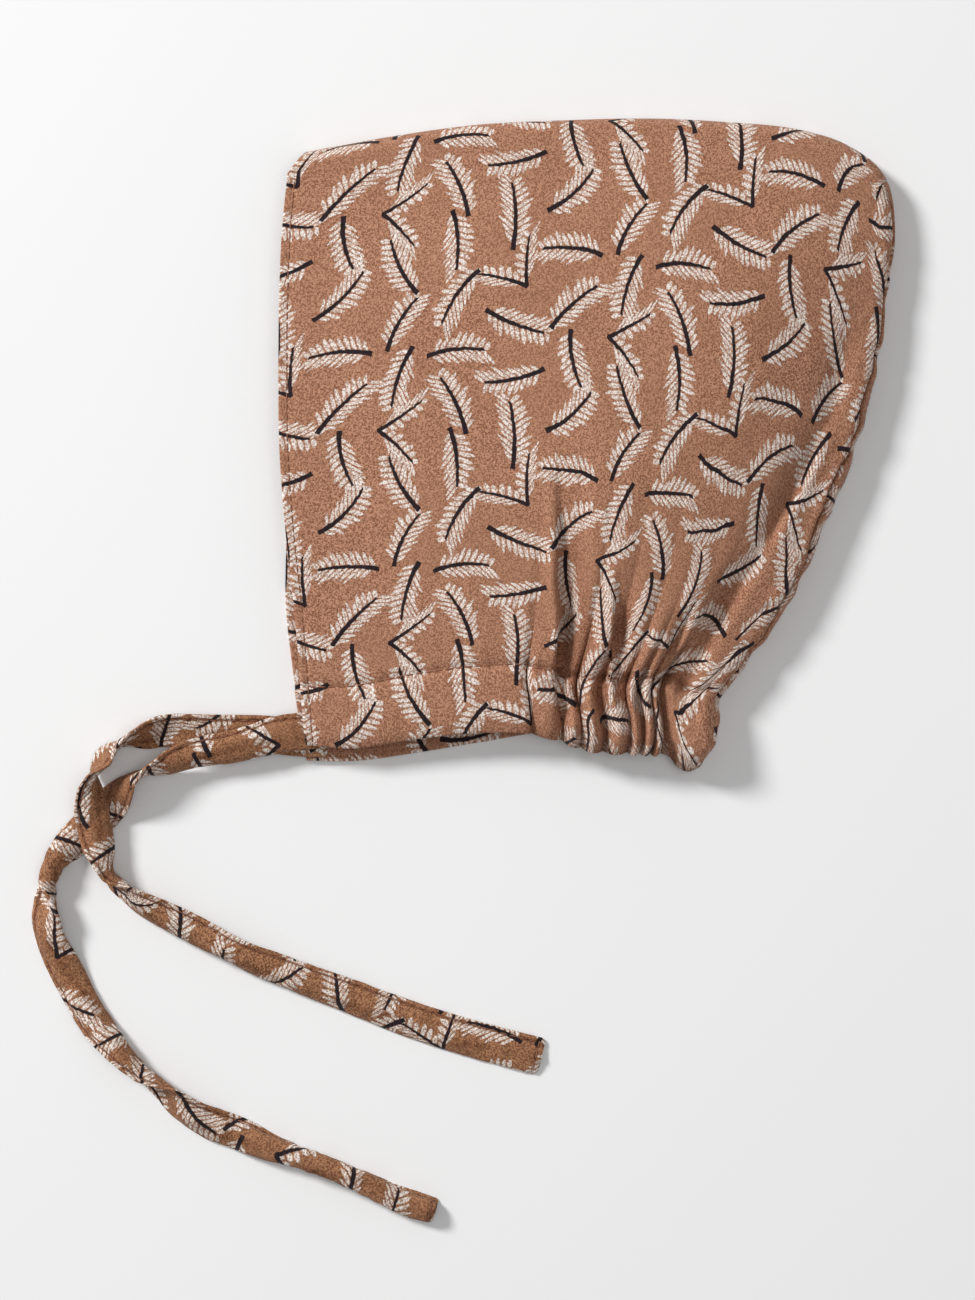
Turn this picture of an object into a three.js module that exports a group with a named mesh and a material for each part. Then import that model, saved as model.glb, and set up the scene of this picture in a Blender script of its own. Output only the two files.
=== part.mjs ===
// A baby's bonnet lying on its side on a flat surface, in millimetres.
// +X runs from the face opening to the back of the head, +Y from the neck to the top of the head.
// +Z is up. The origin is on the surface, under the middle of the outline of bonnet and ties.
//
// The crown is one cloth folded over the top of the head and sewn along the centre back. Its near
// half lies on top, its far half on the surface. It is open at the face and at the neck, where the
// hem is turned up inside as a casing and drawn into gathers towards the back.
import * as THREE from "three";

// Walls
const CLOTH = 1.6;
const CASING_CLOTH = 2.4;
const CASING_HEIGHT = 16;
const STITCH_DENT = 0.5;
const STITCH_HALF_WIDTH = 1.6;

// The rounded fold along the top and the centre back
const FOLD_REACH = 5;
const FOLD_MIDDLE = 4.6;
const FOLD_STEPS = 4;
const CORNER_REACH = 15;
const PROBE = 0.5;

// Share of the face edge over which the far half's longer hem is taken up
const HEM_CORNER_SHARE = 1 / 6;

// Cloth along the neck hem, before it is gathered
const FLAT_HEM = 65;
const FLAT_HEM_STEPS = 9;
const TUBE_STEPS = 4;

// Ties
const TIE_WIDTH = 10.5;
const TIE_THICKNESS = 1.8;
const TIE_EDGE = 0.5;
const TIE_STEP = 4;

// Top of the head and centre back, one line from the front of the top to the end of the hem.
const CLOSED_EDGE = [
  { x: -44.2, y: 143.6 },
  { x: -19.2, y: 148.1 },
  { x: 4, y: 151.2 },
  { x: 27.8, y: 152.4 },
  { x: 51, y: 152.9 },
  { x: 73, y: 151.9 },
  { x: 92, y: 150 },
  { x: 107, y: 145.2 },
  { x: 117.2, y: 136.1 },
  { x: 119.6, y: 121 },
  { x: 117.4, y: 103 },
  { x: 114.2, y: 81 },
  { x: 108.4, y: 60 },
  { x: 101, y: 41.5 },
  { x: 92.6, y: 22.5 },
  { x: 82, y: 5.5 },
  { x: 73, y: -6.3 },
  { x: 70.5, y: -14.5 },
  { x: 68.6, y: -23.3 },
];
const BACK_CORNER = 8;

// Edge of the face opening on the near half, from the neck up. beyond is how far the far half's
// edge stands out past it.
const FRONT_EDGE = [
  { x: -43.9, y: -21.1, beyond: 0 },
  { x: -45.3, y: -4, beyond: 2 },
  { x: -47.1, y: 17, beyond: 2.8 },
  { x: -49.4, y: 38, beyond: 0.4 },
  { x: -51, y: 60, beyond: -0.8 },
  { x: -51.3, y: 82, beyond: -0.8 },
  { x: -51.1, y: 103, beyond: -0.8 },
  { x: -50.4, y: 121, beyond: -0.5 },
  { x: -48.9, y: 136.9, beyond: 0 },
];

// Neck hem of the near half, from the front to the back. below is how far the far half's hem lies
// past it.
const NECK_EDGE = [
  { x: -43.9, y: -21.1, below: 4.4 },
  { x: -30.3, y: -21.9, below: 3.6 },
  { x: -14, y: -19.4, below: 3.9 },
  { x: 5, y: -17.6, below: 2.6 },
  { x: 20.8, y: -18.1, below: 0 },
  { x: 34, y: -22.2, below: 0 },
  { x: 45, y: -23.1, below: 0 },
  { x: 55.5, y: -23.8, below: 0 },
  { x: 60.5, y: -28.2, below: 0 },
  { x: 65.3, y: -26.9, below: 0 },
];

// Height of the near half above the surface, from the face opening to the back, at five levels.
const LOFT = [
  { level: "neck hem", front: 8.5, quarter: 10.5, middle: 12.5, threeQuarter: 14, back: 11 },
  { level: "low", front: 10, quarter: 14, middle: 18, threeQuarter: 18, back: 11 },
  { level: "middle", front: 11, quarter: 16, middle: 21, threeQuarter: 20, back: 10.5 },
  { level: "high", front: 11, quarter: 15.5, middle: 19, threeQuarter: 18, back: 10.5 },
  { level: "top", front: 9.5, quarter: 10.5, middle: 11, threeQuarter: 11, back: 10 },
];

// Gathers of the neck hem, from the front to the lobe at the centre back. width is each tube's
// width at the hem and cloth what it takes of the flat hem. reach is how far up it fades out.
const GATHERS = [
  { width: 8.6, cloth: 11, rise: 1.4, reach: 14 },
  { width: 5.6, cloth: 11, rise: 2, reach: 20 },
  { width: 6.4, cloth: 13, rise: 2, reach: 22 },
  { width: 6.7, cloth: 14, rise: 2.2, reach: 20 },
  { width: 3.3, cloth: 9, rise: 1.5, reach: 10 },
  { width: 3.1, cloth: 9, rise: 1.5, reach: 8 },
  { width: 2.5, cloth: 8, rise: 1.6, reach: 8 },
  { width: 13.6, cloth: 24, rise: 3, reach: 12 },
];
const FAR_GATHER_SHARE = 0.6;
const INNER_GATHER_SHARE = 0.5;

// Folds that run up the near half. Each is a valley along a line, deepest at its low end: it
// deepens over the first share of its line and ends within a few millimetres past it.
const FOLD_RISE = 0.6;
const FOLD_END = 6;
const FOLDS = [
  { fromX: 25.3, fromY: 52, toX: 28.3, toY: -14, depth: 4, halfWidth: 3.6 },
  { fromX: 42.2, fromY: 26, toX: 41.9, toY: -6, depth: 3, halfWidth: 3 },
  { fromX: 73.3, fromY: 18.6, toX: 60, toY: -5, depth: 3.2, halfWidth: 3.2 },
  { fromX: 61.1, fromY: 17, toX: 54.4, toY: -2, depth: 2.4, halfWidth: 2.6 },
  { fromX: 102.8, fromY: 82, toX: 90, toY: 47.5, depth: 1.6, halfWidth: 3 },
  { fromX: 90, fromY: 47.5, toX: 68, toY: 12, depth: 2.4, halfWidth: 3 },
];

// Levels up the crown where its grid has a row, as distances from the hem.
const LEVELS_UP = [0, 6, 14.4, 16, 17.6, 24, 33, 44, 57, 71, 86, 102, 118, 134, 147, 158];

// Each tie along its middle, from the casing to its free end. lift is the height of its underside
// and turn its twist, which lays it flat at each half circle.
const NEAR_TIE = [
  { x: -44.5, y: -18.2, lift: 6.1, turn: 0 },
  { x: -54, y: -19.2, lift: 4.8, turn: 0 },
  { x: -63.5, y: -21.4, lift: 3.2, turn: 0 },
  { x: -72, y: -23.1, lift: 2.4, turn: 0 },
  { x: -79.5, y: -25, lift: 3, turn: 8 },
  { x: -85.5, y: -27.8, lift: 2.2, turn: 50 },
  { x: -90, y: -31.2, lift: 0.4, turn: 105 },
  { x: -95, y: -36, lift: 0, turn: 162 },
  { x: -101, y: -40.3, lift: 0, turn: 178 },
  { x: -108.5, y: -45.4, lift: 0, turn: 180 },
  { x: -113.2, y: -52, lift: 0, turn: 202 },
  { x: -115.8, y: -61, lift: 0, turn: 226 },
  { x: -115.4, y: -70.5, lift: 0, turn: 222 },
  { x: -113.4, y: -79, lift: 0, turn: 195 },
  { x: -109.6, y: -87, lift: 0, turn: 180 },
  { x: -102.5, y: -98.5, lift: 0, turn: 200 },
  { x: -94.5, y: -108.4, lift: 0, turn: 228 },
  { x: -86, y: -115, lift: 0, turn: 215 },
  { x: -75.5, y: -121.8, lift: 0, turn: 185 },
  { x: -63, y: -129.2, lift: 0, turn: 190 },
  { x: -50.5, y: -134.2, lift: 0, turn: 225 },
  { x: -38, y: -139, lift: 0, turn: 240 },
  { x: -26, y: -143.8, lift: 0, turn: 230 },
  { x: -9.6, y: -149.2, lift: 0, turn: 220 },
];

const FAR_TIE = [
  { x: -46.9, y: -19.2, lift: 0, turn: 0 },
  { x: -56, y: -18.4, lift: 0, turn: 0 },
  { x: -68, y: -17.8, lift: 0, turn: 0 },
  { x: -81, y: -17.9, lift: 0, turn: -6 },
  { x: -89, y: -20, lift: 0.4, turn: -40 },
  { x: -95.4, y: -22.8, lift: 1, turn: -90 },
  { x: -100, y: -28, lift: 2.4, turn: -140 },
  { x: -102.8, y: -35, lift: 3.2, turn: -170 },
  { x: -103, y: -42, lift: 3, turn: -180 },
  { x: -101.6, y: -49, lift: 2, turn: -195 },
  { x: -98.6, y: -56, lift: 0, turn: -240 },
  { x: -94, y: -62, lift: 0, turn: -300 },
  { x: -86.4, y: -66.6, lift: 0, turn: -335 },
  { x: -75, y: -72.4, lift: 0, turn: -352 },
  { x: -63, y: -78.8, lift: 0, turn: -350 },
  { x: -49.2, y: -84.8, lift: 0, turn: -345 },
  { x: -34, y: -91, lift: 0, turn: -350 },
  { x: -20.3, y: -96.1, lift: 0, turn: -360 },
  { x: -8, y: -100, lift: 0, turn: -360 },
  { x: 6, y: -103.8, lift: 0, turn: -360 },
  { x: 21.6, y: -107.5, lift: 0, turn: -360 },
];

const PRINTED_COTTON = { color: 0xbc8062, roughness: 0.9, metalness: 0 };

// Lines and tables

// Smooth value of evenly spread numbers at a share of their length.
function cubic(values, share) {
  const spans = values.length - 1;
  const first = Math.min(Math.floor(share * spans), spans - 1);
  const t = share * spans - first;
  const [a, b, c, d] = [-1, 0, 1, 2].map(
    (step) => values[Math.min(Math.max(first + step, 0), spans)],
  );
  const bend = (2 * a - 5 * b + 4 * c - d) * t * t + (3 * b - a - 3 * c + d) * t * t * t;
  return 0.5 * (2 * b + (c - a) * t + bend);
}

// A table's rows as a smooth line of many rows.
function smoothRows(table, stepsPerSpan = 24) {
  const columns = Object.keys(table[0]);
  const steps = (table.length - 1) * stepsPerSpan;
  return Array.from({ length: steps + 1 }, (_, i) =>
    Object.fromEntries(
      columns.map((column) => [column, cubic(table.map((row) => row[column]), i / steps)]),
    ),
  );
}

// Distance of each row from the first, along the line in plan.
function distances(rows) {
  let total = 0;
  return rows.map((row, i) => {
    if (i) total += Math.hypot(row.x - rows[i - 1].x, row.y - rows[i - 1].y);
    return total;
  });
}

// A line that can be asked for its row at a distance.
function measured(rows) {
  const along = distances(rows);
  const length = along.at(-1);
  const at = (distance) => {
    const wanted = Math.min(Math.max(distance, 0), length);
    const after = Math.max(along.findIndex((d) => d >= wanted), 1);
    const share = (wanted - along[after - 1]) / (along[after] - along[after - 1]);
    const [before, next] = [rows[after - 1], rows[after]];
    return Object.fromEntries(
      Object.keys(before).map((key) => [key, before[key] + (next[key] - before[key]) * share]),
    );
  };
  return { at, length, along };
}

const smoothLine = (table) => measured(smoothRows(table));
const easeIn = (share) => {
  const t = Math.min(Math.max(share, 0), 1);
  return t * t * (3 - 2 * t);
};

// Crown: places in plan

const closedEdge = smoothLine(CLOSED_EDGE);
const frontEdge = smoothLine(FRONT_EDGE);
const neckEdge = smoothLine(NECK_EDGE);
const cornerShare = (() => {
  const rows = smoothRows(CLOSED_EDGE);
  const corner = (BACK_CORNER / (CLOSED_EDGE.length - 1)) * (rows.length - 1);
  return distances(rows)[corner] / closedEdge.length;
})();

const GATHERED_WIDTH = GATHERS.reduce((sum, tube) => sum + tube.width, 0);
const CLOTH_WIDTH = FLAT_HEM + GATHERS.reduce((sum, tube) => sum + tube.cloth, 0);

// Columns of the crown's grid: the share of the cloth, where it meets the hem and the gather there.
function columns() {
  const flat = neckEdge.length - GATHERED_WIDTH;
  const list = [];
  for (let i = 0; i < FLAT_HEM_STEPS; i++) {
    const share = i / FLAT_HEM_STEPS;
    list.push({ cloth: share * FLAT_HEM, hem: share * flat, dip: 0, reach: 1 });
  }
  let [cloth, hem] = [FLAT_HEM, flat];
  for (const tube of GATHERS) {
    for (let i = 0; i < TUBE_STEPS; i++) {
      const share = i / TUBE_STEPS;
      const dip = tube.rise * (1 - Math.sin(Math.PI * share));
      list.push({
        cloth: cloth + share * tube.cloth,
        hem: hem + share * tube.width,
        dip,
        reach: tube.reach,
      });
    }
    cloth += tube.cloth;
    hem += tube.width;
  }
  list.push({ cloth, hem, dip: 0, reach: GATHERS.at(-1).reach });
  return list.map((column) => ({ ...column, share: column.cloth / CLOTH_WIDTH }));
}

const COLUMNS = columns();
const CLOTH_HEIGHT = LEVELS_UP.at(-1);
const LEVELS = LEVELS_UP.map((up) => up / CLOTH_HEIGHT);
const LAST_COLUMN = COLUMNS.length - 1;
const LAST_LEVEL = LEVELS.length - 1;

// A point of an open edge of one half, by its share from the neck's front corner.
function edgeAt(side, name, share) {
  const line = name === "front" ? frontEdge : neckEdge;
  const row = line.at(share * line.length);
  if (side === "near") return { x: row.x, y: row.y };
  if (name === "neck") return { x: row.x, y: row.y - row.below };
  const lower = NECK_EDGE[0].below * Math.max(1 - share / HEM_CORNER_SHARE, 0);
  return { x: row.x - row.beyond, y: row.y - lower };
}

// The closed edge at a distance along it, and the point beside it where the fold begins.
function foldSection(distance) {
  const [before, outer, after] = [-PROBE, 0, PROBE].map((d) => closedEdge.at(distance + d));
  const run = Math.hypot(after.x - before.x, after.y - before.y);
  const inner = {
    x: outer.x + ((after.y - before.y) / run) * FOLD_REACH,
    y: outer.y + ((before.x - after.x) / run) * FOLD_REACH,
  };
  return { outer, inner };
}

// The same for one half, with the inner point drawn to the corners of the openings at the ends.
function foldPoint(share, side) {
  const distance = share * closedEdge.length;
  const { outer, inner } = foldSection(distance);
  const ends = [
    { corner: edgeAt(side, "front", 1), end: 0 },
    { corner: edgeAt(side, "neck", 1), end: closedEdge.length },
  ];
  for (const { corner, end } of ends) {
    const own = foldSection(end).inner;
    const pull = easeIn(1 - Math.abs(distance - end) / CORNER_REACH);
    inner.x += (corner.x - own.x) * pull;
    inner.y += (corner.y - own.y) * pull;
  }
  return { outer, inner };
}

// The plan of one half's grid between its four edges.
function planPoint(side, column, level) {
  const across = COLUMNS[column].share;
  const up = LEVELS[level];
  const left = edgeAt(side, "front", up);
  const right = foldPoint(1 - up * (1 - cornerShare), side).inner;
  const low = edgeAt(side, "neck", COLUMNS[column].hem / neckEdge.length);
  const high = foldPoint(across * cornerShare, side).inner;
  const corners = {
    lowLeft: edgeAt(side, "neck", 0),
    lowRight: edgeAt(side, "neck", 1),
    highLeft: edgeAt(side, "front", 1),
    highRight: foldPoint(cornerShare, side).inner,
  };
  const mix = (key) =>
    (1 - across) * left[key] +
    across * right[key] +
    (1 - up) * low[key] +
    up * high[key] -
    (1 - across) * (1 - up) * corners.lowLeft[key] -
    across * (1 - up) * corners.lowRight[key] -
    (1 - across) * up * corners.highLeft[key] -
    across * up * corners.highRight[key];
  return { x: mix("x"), y: mix("y") };
}

// Crown: heights

const LOFT_COLUMNS = ["front", "quarter", "middle", "threeQuarter", "back"];

function loft(across, up) {
  return cubic(
    LOFT.map((row) => cubic(LOFT_COLUMNS.map((column) => row[column]), across)),
    up,
  );
}

// Depth of the folds at a point of the near half.
function foldDepth({ x, y }) {
  let depth = 0;
  for (const fold of FOLDS) {
    const [runX, runY] = [fold.toX - fold.fromX, fold.toY - fold.fromY];
    const run = Math.hypot(runX, runY);
    const along = ((x - fold.fromX) * runX + (y - fold.fromY) * runY) / run;
    const aside = ((x - fold.fromX) * runY - (y - fold.fromY) * runX) / run;
    const fade = easeIn(along / (FOLD_RISE * run)) * easeIn((run - along) / FOLD_END + 1);
    depth = Math.max(depth, fold.depth * fade * Math.exp(-((aside / fold.halfWidth) ** 2)));
  }
  return depth;
}

// Depth of the gathers and of the stitched line that closes the casing.
function hemDepth(column, level) {
  const up = LEVELS_UP[level];
  const above = Math.max(up - CASING_HEIGHT, 0);
  const gather = COLUMNS[column].dip * Math.exp(-above / COLUMNS[column].reach);
  const stitch = STITCH_DENT * Math.max(1 - Math.abs(up - CASING_HEIGHT) / STITCH_HALF_WIDTH, 0);
  return gather + stitch;
}

const wall = (level) => (LEVELS_UP[level] < CASING_HEIGHT ? CASING_CLOTH : CLOTH);

// Crown: surface

// The crown's outer skin as vertices and triangles. Each vertex knows how much the gathers dent
// it and how thick the cloth is there.
function outerSkin() {
  const vertices = [];
  const triangles = [];
  const add = (vertex) => vertices.push(vertex) - 1;
  const quad = (a, b, c, d, facingUp) => {
    const turned = facingUp ? [a, b, c, a, c, d] : [a, c, b, a, d, c];
    triangles.push(...turned);
  };

  const foldAt = (k) =>
    k <= LAST_COLUMN
      ? COLUMNS[k].share * cornerShare
      : 1 - LEVELS[LAST_LEVEL - (k - LAST_COLUMN)] * (1 - cornerShare);
  const gridAt = (k) =>
    k <= LAST_COLUMN ? [k, LAST_LEVEL] : [LAST_COLUMN, LAST_LEVEL - (k - LAST_COLUMN)];
  const foldCount = LAST_COLUMN + LAST_LEVEL;

  const foldLine = [];
  for (let k = 0; k <= foldCount; k++) {
    const { outer } = foldPoint(foldAt(k), "near");
    const [, level] = gridAt(k);
    foldLine.push(add({ x: outer.x, y: outer.y, z: FOLD_MIDDLE, dip: 0, wall: wall(level) }));
  }

  const rim = {};
  for (const side of ["near", "far"]) {
    const up = side === "near";
    const grid = COLUMNS.map((_, column) =>
      LEVELS.map((_, level) => {
        const place = planPoint(side, column, level);
        const dent = hemDepth(column, level);
        const height = up ? loft(COLUMNS[column].share, LEVELS[level]) - foldDepth(place) : 0;
        const dip = up ? dent : dent * FAR_GATHER_SHARE;
        return add({ ...place, z: height, dip, wall: wall(level) });
      }),
    );
    for (let column = 0; column < LAST_COLUMN; column++) {
      for (let level = 0; level < LAST_LEVEL; level++) {
        const [a, b] = [grid[column][level], grid[column + 1][level]];
        const [c, d] = [grid[column + 1][level + 1], grid[column][level + 1]];
        quad(a, b, c, d, up);
      }
    }

    // The fold's strip, in steps of its quarter circle from the grid out to the fold line.
    const strip = [];
    for (let k = 0; k <= foldCount; k++) {
      const [column, level] = gridAt(k);
      const edge = vertices[grid[column][level]];
      const line = vertices[foldLine[k]];
      const row = [foldLine[k]];
      for (let step = 1; step < FOLD_STEPS; step++) {
        const angle = (step / FOLD_STEPS) * (Math.PI / 2);
        const inward = 1 - Math.cos(angle);
        row.push(
          add({
            x: line.x + (edge.x - line.x) * inward,
            y: line.y + (edge.y - line.y) * inward,
            z: line.z + (edge.z - line.z) * Math.sin(angle),
            dip: edge.dip * inward,
            wall: edge.wall,
          }),
        );
      }
      row.push(grid[column][level]);
      strip.push(row);
    }
    for (let k = 0; k < foldCount; k++) {
      for (let step = 0; step < FOLD_STEPS; step++) {
        quad(strip[k][step + 1], strip[k + 1][step + 1], strip[k + 1][step], strip[k][step], up);
      }
    }
    rim[side] = {
      front: grid[0],
      neck: grid.map((column) => column[0]),
      top: strip[0],
      back: strip[foldCount],
    };
  }

  // The open edges as one loop: up the near front, over the fold, down the far front, along the
  // far neck, over the back fold and back along the near neck.
  const { near, far } = rim;
  const loop = [
    ...near.front,
    ...near.top.slice(0, -1).reverse(),
    ...far.top.slice(1, -1),
    ...far.front.slice().reverse(),
    ...far.neck.slice(1),
    ...far.back.slice(0, -1).reverse(),
    ...near.back.slice(1, -1),
    ...near.neck.slice(1).reverse(),
  ];
  return { vertices, triangles, loop };
}

// The average direction of the faces at each vertex.
function normals(vertices, triangles) {
  const geometry = new THREE.BufferGeometry();
  const places = vertices.flatMap(({ x, y, z }) => [x, y, z]);
  geometry.setAttribute("position", new THREE.Float32BufferAttribute(places, 3));
  geometry.setIndex(triangles);
  geometry.computeVertexNormals();
  const normal = geometry.getAttribute("normal");
  return vertices.map((_, i) => new THREE.Vector3().fromBufferAttribute(normal, i));
}

// The crown as a closed wall: the outer skin, the same skin set in by the cloth's thickness and
// the rim between them.
function crownGeometry() {
  const { vertices, triangles, loop } = outerSkin();
  const directions = normals(vertices, triangles);
  const places = [];
  const put = (vertex, direction, depth, lowest) => {
    const z = Math.max(vertex.z - direction.z * depth, lowest);
    places.push(vertex.x - direction.x * depth, vertex.y - direction.y * depth, z);
  };
  vertices.forEach((vertex, i) => put(vertex, directions[i], vertex.dip, 0));
  vertices.forEach((vertex, i) =>
    put(vertex, directions[i], vertex.wall + vertex.dip * INNER_GATHER_SHARE, vertex.wall),
  );
  const inner = vertices.length;
  const faces = [...triangles];
  for (let i = 0; i < triangles.length; i += 3) {
    const [a, b, c] = triangles.slice(i, i + 3);
    faces.push(inner + a, inner + c, inner + b);
  }
  loop.forEach((a, i) => {
    const b = loop[(i + 1) % loop.length];
    faces.push(a, b, inner + b, a, inner + b, inner + a);
  });
  return closedGeometry(places, faces);
}

function closedGeometry(places, faces) {
  const geometry = new THREE.BufferGeometry();
  geometry.setAttribute("position", new THREE.Float32BufferAttribute(places, 3));
  geometry.setIndex(faces);
  geometry.computeVertexNormals();
  return geometry;
}

// Ties

// A tie's section, round from one edge to the other: flat, with its long edges eased.
const TIE_SECTION = [
  { across: -TIE_WIDTH / 2, up: 0 },
  { across: -TIE_WIDTH / 2 + TIE_EDGE, up: -TIE_THICKNESS / 2 },
  { across: TIE_WIDTH / 2 - TIE_EDGE, up: -TIE_THICKNESS / 2 },
  { across: TIE_WIDTH / 2, up: 0 },
  { across: TIE_WIDTH / 2 - TIE_EDGE, up: TIE_THICKNESS / 2 },
  { across: -TIE_WIDTH / 2 + TIE_EDGE, up: TIE_THICKNESS / 2 },
];

// Height of a turned tie's middle when its lowest point is at nought.
function restingHeight(turn) {
  const heights = TIE_SECTION.map(
    ({ across, up }) => across * Math.sin(turn) + up * Math.cos(turn),
  );
  return -Math.min(...heights);
}

// A flat strap swept along its route, turned about its middle as the table says.
function tieGeometry(route) {
  const line = smoothLine(route);
  const steps = Math.round(line.length / TIE_STEP);
  const corners = TIE_SECTION.length;
  const places = [];
  for (let i = 0; i <= steps; i++) {
    const distance = (i / steps) * line.length;
    const [before, here, after] = [-1, 0, 1].map((d) => line.at(distance + d));
    const run = Math.hypot(after.x - before.x, after.y - before.y);
    const side = { x: -(after.y - before.y) / run, y: (after.x - before.x) / run };
    const turn = THREE.MathUtils.degToRad(here.turn);
    const middle = Math.max(here.lift, 0) + restingHeight(turn);
    for (const { across, up } of TIE_SECTION) {
      const level = across * Math.cos(turn) - up * Math.sin(turn);
      const rise = across * Math.sin(turn) + up * Math.cos(turn);
      places.push(here.x + side.x * level, here.y + side.y * level, middle + rise);
    }
  }
  const faces = [];
  for (let i = 0; i < steps; i++) {
    for (let corner = 0; corner < corners; corner++) {
      const next = (corner + 1) % corners;
      const [a, b] = [i * corners + corner, i * corners + next];
      const [c, d] = [b + corners, a + corners];
      faces.push(a, b, c, a, c, d);
    }
  }
  const last = steps * corners;
  for (let corner = 1; corner < corners - 1; corner++) {
    faces.push(0, corner + 1, corner);
    faces.push(last, last + corner, last + corner + 1);
  }
  return closedGeometry(places, faces);
}

// Assembly

function piece(name, geometry) {
  const mesh = new THREE.Mesh(geometry, new THREE.MeshStandardMaterial(PRINTED_COTTON));
  mesh.name = name;
  return mesh;
}

const bonnet = new THREE.Group();
bonnet.add(
  piece("crown", crownGeometry()),
  piece("tie_near", tieGeometry(NEAR_TIE)),
  piece("tie_far", tieGeometry(FAR_TIE)),
);

export default bonnet;
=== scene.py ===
"""The looks of a baby's bonnet that lies on its side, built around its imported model.

Lengths are in millimetres, as in the part's source, and each mesh is made in metres.
"""

import math

import bpy
import numpy as np
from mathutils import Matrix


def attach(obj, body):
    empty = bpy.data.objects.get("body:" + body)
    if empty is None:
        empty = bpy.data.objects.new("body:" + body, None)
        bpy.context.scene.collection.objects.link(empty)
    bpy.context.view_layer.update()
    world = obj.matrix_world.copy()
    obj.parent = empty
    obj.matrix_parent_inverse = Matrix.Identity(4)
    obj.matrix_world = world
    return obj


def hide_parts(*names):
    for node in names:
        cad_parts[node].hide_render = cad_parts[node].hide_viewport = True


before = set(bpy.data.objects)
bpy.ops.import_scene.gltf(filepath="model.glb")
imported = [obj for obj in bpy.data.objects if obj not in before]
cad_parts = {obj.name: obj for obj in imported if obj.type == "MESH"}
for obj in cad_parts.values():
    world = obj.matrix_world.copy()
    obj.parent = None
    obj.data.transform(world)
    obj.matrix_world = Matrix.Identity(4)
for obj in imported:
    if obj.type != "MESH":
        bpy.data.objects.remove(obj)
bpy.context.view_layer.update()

MM = 0.001
TINY = 1e-9
LINE_STEPS = 24

# Photograph
IMAGE_HEIGHT = 1300
PIXELS_PER_MM = 3.6
VIEW_CENTRE = (6.25, 5.0)
MIDDLE_PLANE = 6
LENS = 85
SENSOR = 36

# Cloth of the crown
CLOTH = 0.8
CASING_CLOTH = 1.7
CASING_HEIGHT = 16
CASING_STEP = 1.2
HEM_ROLL = 5
LEAST_WALL = 0.8
RIM_REACH = 0.6
RIM_LIMIT = 0.5
RIM_STEPS = 4
RIM_SMOOTHING = 2

# Rounded fold along the top and the centre back. The seam runs from the back corner and ends
# before the hem. Its line begins to waver a little behind the corner.
FOLD_REACH = 5
FOLD_MIDDLE = 4.6
CORNER_REACH = 15
PROBE = 0.5
TOP_INSET = 2
WAVER_START = 12
WAVER_RISE = 25
WAVER_END = 12
SEAM_RISE = 14
SEAM_END = 12
SEAM_FADE = 8
SEAM_DEPTH = 1.3
GROOVE_SIDE = 0.4
SEAM_STEPS = (0, 0.3, 0.6, 0.86)
SEAM_SHARES = (0, 0.07, 0.17, 0.32, 0.5, 0.74, 1)
SEAM_STEP = len(SEAM_STEPS)

# The crown's grid
HEM_CORNER_SHARE = 1 / 6
FLAT_HEM = 65
FLAT_STEP = 1.15
TUBE_STEPS = 15
CLOTH_HEIGHT = 158
FRONT_COLUMNS = (0, 0.6, 1.2, 1.8, 2.4, 3.2, 4.2)
FRONT_STITCH = 1.8

# Ripples of the cloth: height, wavelength and seed of each. A tie adds a seed of its own.
RIPPLES = {
    "seam_line": (0.75, 13, 3),
    "fold_line": (0.5, 26, 5),
    "casing": (0.28, 5.2, 11),
    "casing_fine": (0.18, 3.1, 12),
    "face": (0.16, 7, 13),
    "seam": (0.4, 10, 14),
    "hem": (0.25, 9, 15),
    "crumple": (0.42, 6.5, 16),
    "crumple_across": (1, 13, 17),
    "crumple_fine": (0.25, 4.1, 18),
    "crumple_fine_across": (1, 7, 19),
    "seam_swell": (0.35, 9, 21),
    "seam_slanted": (0.5, 6.5, 22),
    "tie_pucker": (0.2, 4.2, 1),
    "tie_soft": (0.22, 12, 2),
    "tie_course": (1.6, 40, 3),
    "tie_crease": (1, 31, 4),
    "tie_wrinkle": (0.18, 5.5, 5),
    "tie_fold": (0.4, 3.4, 6),
}


def table(names, *numbers):
    """A table's columns by name. The numbers stand row by row."""
    names = names.split()
    return dict(zip(names, np.array(numbers, float).reshape(-1, len(names)).T))


# Top of the head and centre back, one line from the front of the top to the end of the hem.
CLOSED_EDGE = table(
    "x y",
    -44.2, 143.6,
    -19.2, 148.1,
    4, 151.2,
    27.8, 152.4,
    51, 152.9,
    73, 151.9,
    92, 150,
    107, 145.2,
    117.2, 136.1,
    119.6, 121,
    117.4, 103,
    114.2, 81,
    108.4, 60,
    101, 41.5,
    92.6, 22.5,
    85, 10.2,
    78.4, 1.0,
    73.3, -5.2,
    70.5, -10.3,
    70.8, -15.5,
    69.6, -20.3,
    67.3, -24.7,
)
BACK_CORNER = 8

# Edge of the face opening, from the neck up. beyond is how far the far half stands out past it.
FRONT_EDGE = table(
    "x y beyond",
    -43.9, -21.1, 0,
    -45.3, -4, 2,
    -47.1, 17, 2.8,
    -49.4, 38, 0.4,
    -51, 60, -0.8,
    -51.3, 82, -0.8,
    -51.1, 103, -0.8,
    -50.4, 121, -0.5,
    -48.9, 136.9, 0,
)

# Neck hem from the front to the back. below is how far the far half's hem lies past it.
NECK_EDGE = table(
    "x y below",
    -43.9, -21.1, 4.4,
    -30.3, -21.9, 3.6,
    -14, -19.4, 3.9,
    5, -17.6, 2.6,
    20.8, -18.1, 0,
    34, -22.2, 0,
    45, -23.1, 0,
    52, -23.3, 0,
    56.6, -24.2, 0,
    59.2, -27.4, 0,
    62.3, -28.6, 0,
    65.3, -27.3, 0,
)

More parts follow.
